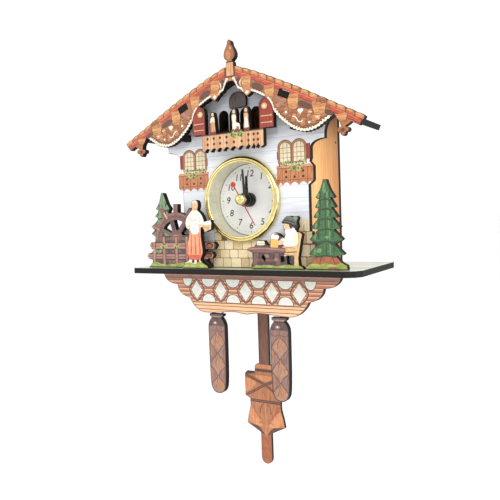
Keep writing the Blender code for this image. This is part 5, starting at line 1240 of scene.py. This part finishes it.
def numerals():
    """The hour figures and the minute track, printed on the dial's face."""
    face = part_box("dial_plate")[0].y
    spots, faces = [], []
    for hour in range(1, 13):
        shape = figure_mesh(str(hour))
        a = math.radians(30 * hour)
        place = (CENTRE.x + NUMERAL_RADIUS * MM * math.sin(a), face - 0.03 * MM,
            CENTRE.z + NUMERAL_RADIUS * MM * math.cos(a))
        shape.transform(Matrix.Translation(place) @ Matrix.Rotation(math.pi / 2, 4, "X"))
        first = len(spots)
        spots += [tuple(v.co) for v in shape.vertices]
        faces += [tuple(first + i for i in polygon.vertices) for polygon in shape.polygons]
        bpy.data.meshes.remove(shape)
    for minute in range(60):
        a = math.radians(6 * minute)
        large = minute % 5 == 0
        half, near, far = (0.28, 24.4, 25.6) if large else (0.14, 24.9, 25.5)
        first = len(spots)
        for depth in (-0.06, 0.02):
            for side, reach in ((-half, near), (half, near), (half, far), (-half, far)):
                spots.append((CENTRE.x + (reach * math.sin(a) + side * math.cos(a)) * MM, face + depth * MM,
                    CENTRE.z + (reach * math.cos(a) - side * math.sin(a)) * MM))
        for quad in ((0, 1, 2, 3), (7, 6, 5, 4), (0, 4, 5, 1), (1, 5, 6, 2), (2, 6, 7, 3), (3, 7, 4, 0)):
            faces.append(tuple(first + i for i in quad))
    mesh = bpy.data.meshes.new("dial_figures")
    mesh.from_pydata(spots, [], faces)
    mesh.materials.append(INKS["dial_black"])
    return place_piece("dial_figures", mesh, BODY_OF["dial_plate"])


def dress(nodes, material):
    for node in nodes:
        for slot in frame["nodes"][node].material_slots:
            slot.material = material


def dress_cad_nodes():
    """Every CAD node that still shows gets a patterned material."""
    boards = board_materials()
    dress(("facade", "gable_front", "apron", "mill_scenery", "woman_figure", "table_scenery", "spruce_tree",
        "weight_left", "weight_right", "pendulum_board", "cuckoo_door"), boards["printed"])
    dress(("side_panel_left", "side_panel_right"), boards["panel"])
    dress(("roof_board_left", "roof_board_right"), boards["roof"])
    dress(("balcony_floor", "gable_spacer_left", "gable_spacer_right"), boards["black"])
    dress(("shelf",), boards["shelf"])
    dress(("back_panel",), boards["back"])
    steel = fine_material("steel", (205, 206, 208), (170, 172, 176), 1.4, 0.3, 1.0)
    dress(("weight_hook_left", "weight_hook_right", "weight_bracket_left", "weight_bracket_right",
        "hanger_magnet", "pivot_pin", *(f"case_screw_{k}" for k in range(1, 5)), "battery_contact_minus",
        "battery_contact_plus", "stator"), steel)
    case = fine_material("case_plastic", (44, 44, 47), (34, 34, 37), 1.2, 0.5, relief=0.03)
    dress(("front_case", "rear_case", "drive_case", "pendulum_hanger"), case)
    gears = fine_material("gear_plastic", (232, 229, 216), (216, 211, 194), 2.0, 0.42)
    dress(("gear_plate", "second_wheel", "third_wheel", "centre_wheel", "intermediate_wheel", "rotor",
        "cannon_pinion", "minute_wheel", "hour_wheel", "setting_knob"), gears)
    copper = fine_material("copper_wire", (206, 122, 78), (160, 84, 50), 0.5, 0.35, 1.0, 0.06, (0.2, 1, 1))
    dress(("drive_coil", "stator_coil"), copper)
    dress(("circuit_board",), fine_material("circuit_green", (40, 128, 78), (26, 98, 58), 1.5, 0.4))
    dress(("battery",), fine_material("battery_skin", (86, 92, 104), (66, 70, 82), 3.0, 0.3, relief=0.02))
    dress(("retaining_ring",), fine_material("soft_black", (34, 34, 34), (24, 24, 24), 0.6, 0.8,
        relief=0.04))
    dress(("dial_plate",), INKS["dial"])
    black = fine_material("hand_black", (30, 31, 33), (20, 20, 22), 2.0, 0.28)
    dress(("hour_hand", "minute_hand", "centre_nut"), black)
    dress(("second_hand",), fine_material("hand_red", (196, 52, 46), (170, 36, 34), 2.0, 0.32))


# ---- studio ----
def floor():
    """A broad pale floor."""
    low = CAD_BOX[0][2] - FLOOR_DROP * MM
    plane = bpy.data.meshes.new("floor")
    plane.from_pydata([(x, y, low) for x, y in rect(-FLOOR_REACH, -FLOOR_REACH, FLOOR_REACH, FLOOR_REACH)],
        [], [(0, 1, 2, 3)])
    pale = Surface("floor_pale")
    tone = noise(pale.tree, pale.place.outputs["Object"], 900.0, detail=2)
    pale.colour(blend(pale.tree, tone, (0.93, 0.93, 0.93), (0.9, 0.9, 0.9)))
    pale.shader.inputs["Roughness"].default_value = 0.9
    plane.materials.append(pale.material)
    ground = bpy.data.objects.new("floor", plane)
    bpy.context.scene.collection.objects.link(ground)


def white_room():
    world = bpy.data.worlds.new("white_room")
    world.use_nodes = True
    world.node_tree.nodes["Background"].inputs["Color"].default_value = (1.0, 1.0, 1.0, 1.0)
    world.node_tree.nodes["Background"].inputs["Strength"].default_value = 1.1
    bpy.context.scene.world = world
    bpy.context.scene.view_settings.view_transform = "Standard"


def lights():
    """Broad soft lamps aimed at the facade at the dial's height."""
    for name, place, size, watts in (("key", (0.7, -0.95, 0.6), 0.6, 5.0),
            ("fill", (-0.9, -0.9, 0.2), 0.8, 1.5), ("side", (1.2, -0.25, 0.1), 0.7, 6.0)):
        lamp = bpy.data.lights.new(name, "AREA")
        lamp.shape = "DISK"
        lamp.size = size
        lamp.energy = watts
        holder = bpy.data.objects.new(name, lamp)
        bpy.context.scene.collection.objects.link(holder)
        holder.location = place
        aim = Vector((0.0, WALL_FACE, CENTRE.z)) - Vector(place)
        holder.rotation_euler = aim.to_track_quat("-Z", "Y").to_euler()


def camera():
    """The photograph's view: from the right and slightly above, with a slight roll."""
    yaw, pitch, roll = (math.radians(a) for a in (CAMERA_YAW, CAMERA_PITCH, CAMERA_ROLL))
    ahead = Vector((-math.sin(yaw) * math.cos(pitch), math.cos(yaw) * math.cos(pitch), math.sin(pitch)))
    right = Vector((math.cos(yaw), math.sin(yaw), 0))
    up = right.cross(ahead)
    across = right * math.cos(roll) + up * math.sin(roll)
    upright = -right * math.sin(roll) + up * math.cos(roll)
    data = bpy.data.cameras.new("camera")
    data.lens = CAMERA_LENS
    data.sensor_width = 36.0
    data.clip_start = 0.01
    holder = bpy.data.objects.new("camera", data)
    bpy.context.scene.collection.objects.link(holder)
    stand = Matrix((across, upright, -ahead)).transposed().to_4x4()
    stand.translation = Vector((CENTRE.x, WALL_FACE, CENTRE.z)) + MM * Vector(CAMERA_PLACE)
    holder.matrix_world = stand
    bpy.context.scene.camera = holder


def main():
    camera()
    floor()
    white_room()
    lights()
    mix_inks()
    dress_cad_nodes()
    facade_print()
    gable_print()
    door_print()
    apron_print()
    mill_print()
    woman_print()
    table_print()
    spruce_print()
    for node in ("weight_left", "weight_right"):
        weight_print(node)
    pendulum_print()
    gold = fine_material("gold_plating", (242, 226, 164), (226, 206, 140), 3.0, 0.12, 1.0, 0.002)
    # The inner wall's paler, less metallic copy of the gold plating is painted light
    bezel(gold, fine_material("painted_lit_plating", (236, 232, 212), (216, 211, 186), 3.0, 0.34, 0.6, 0.006))
    cap(gold)
    numerals()


main()
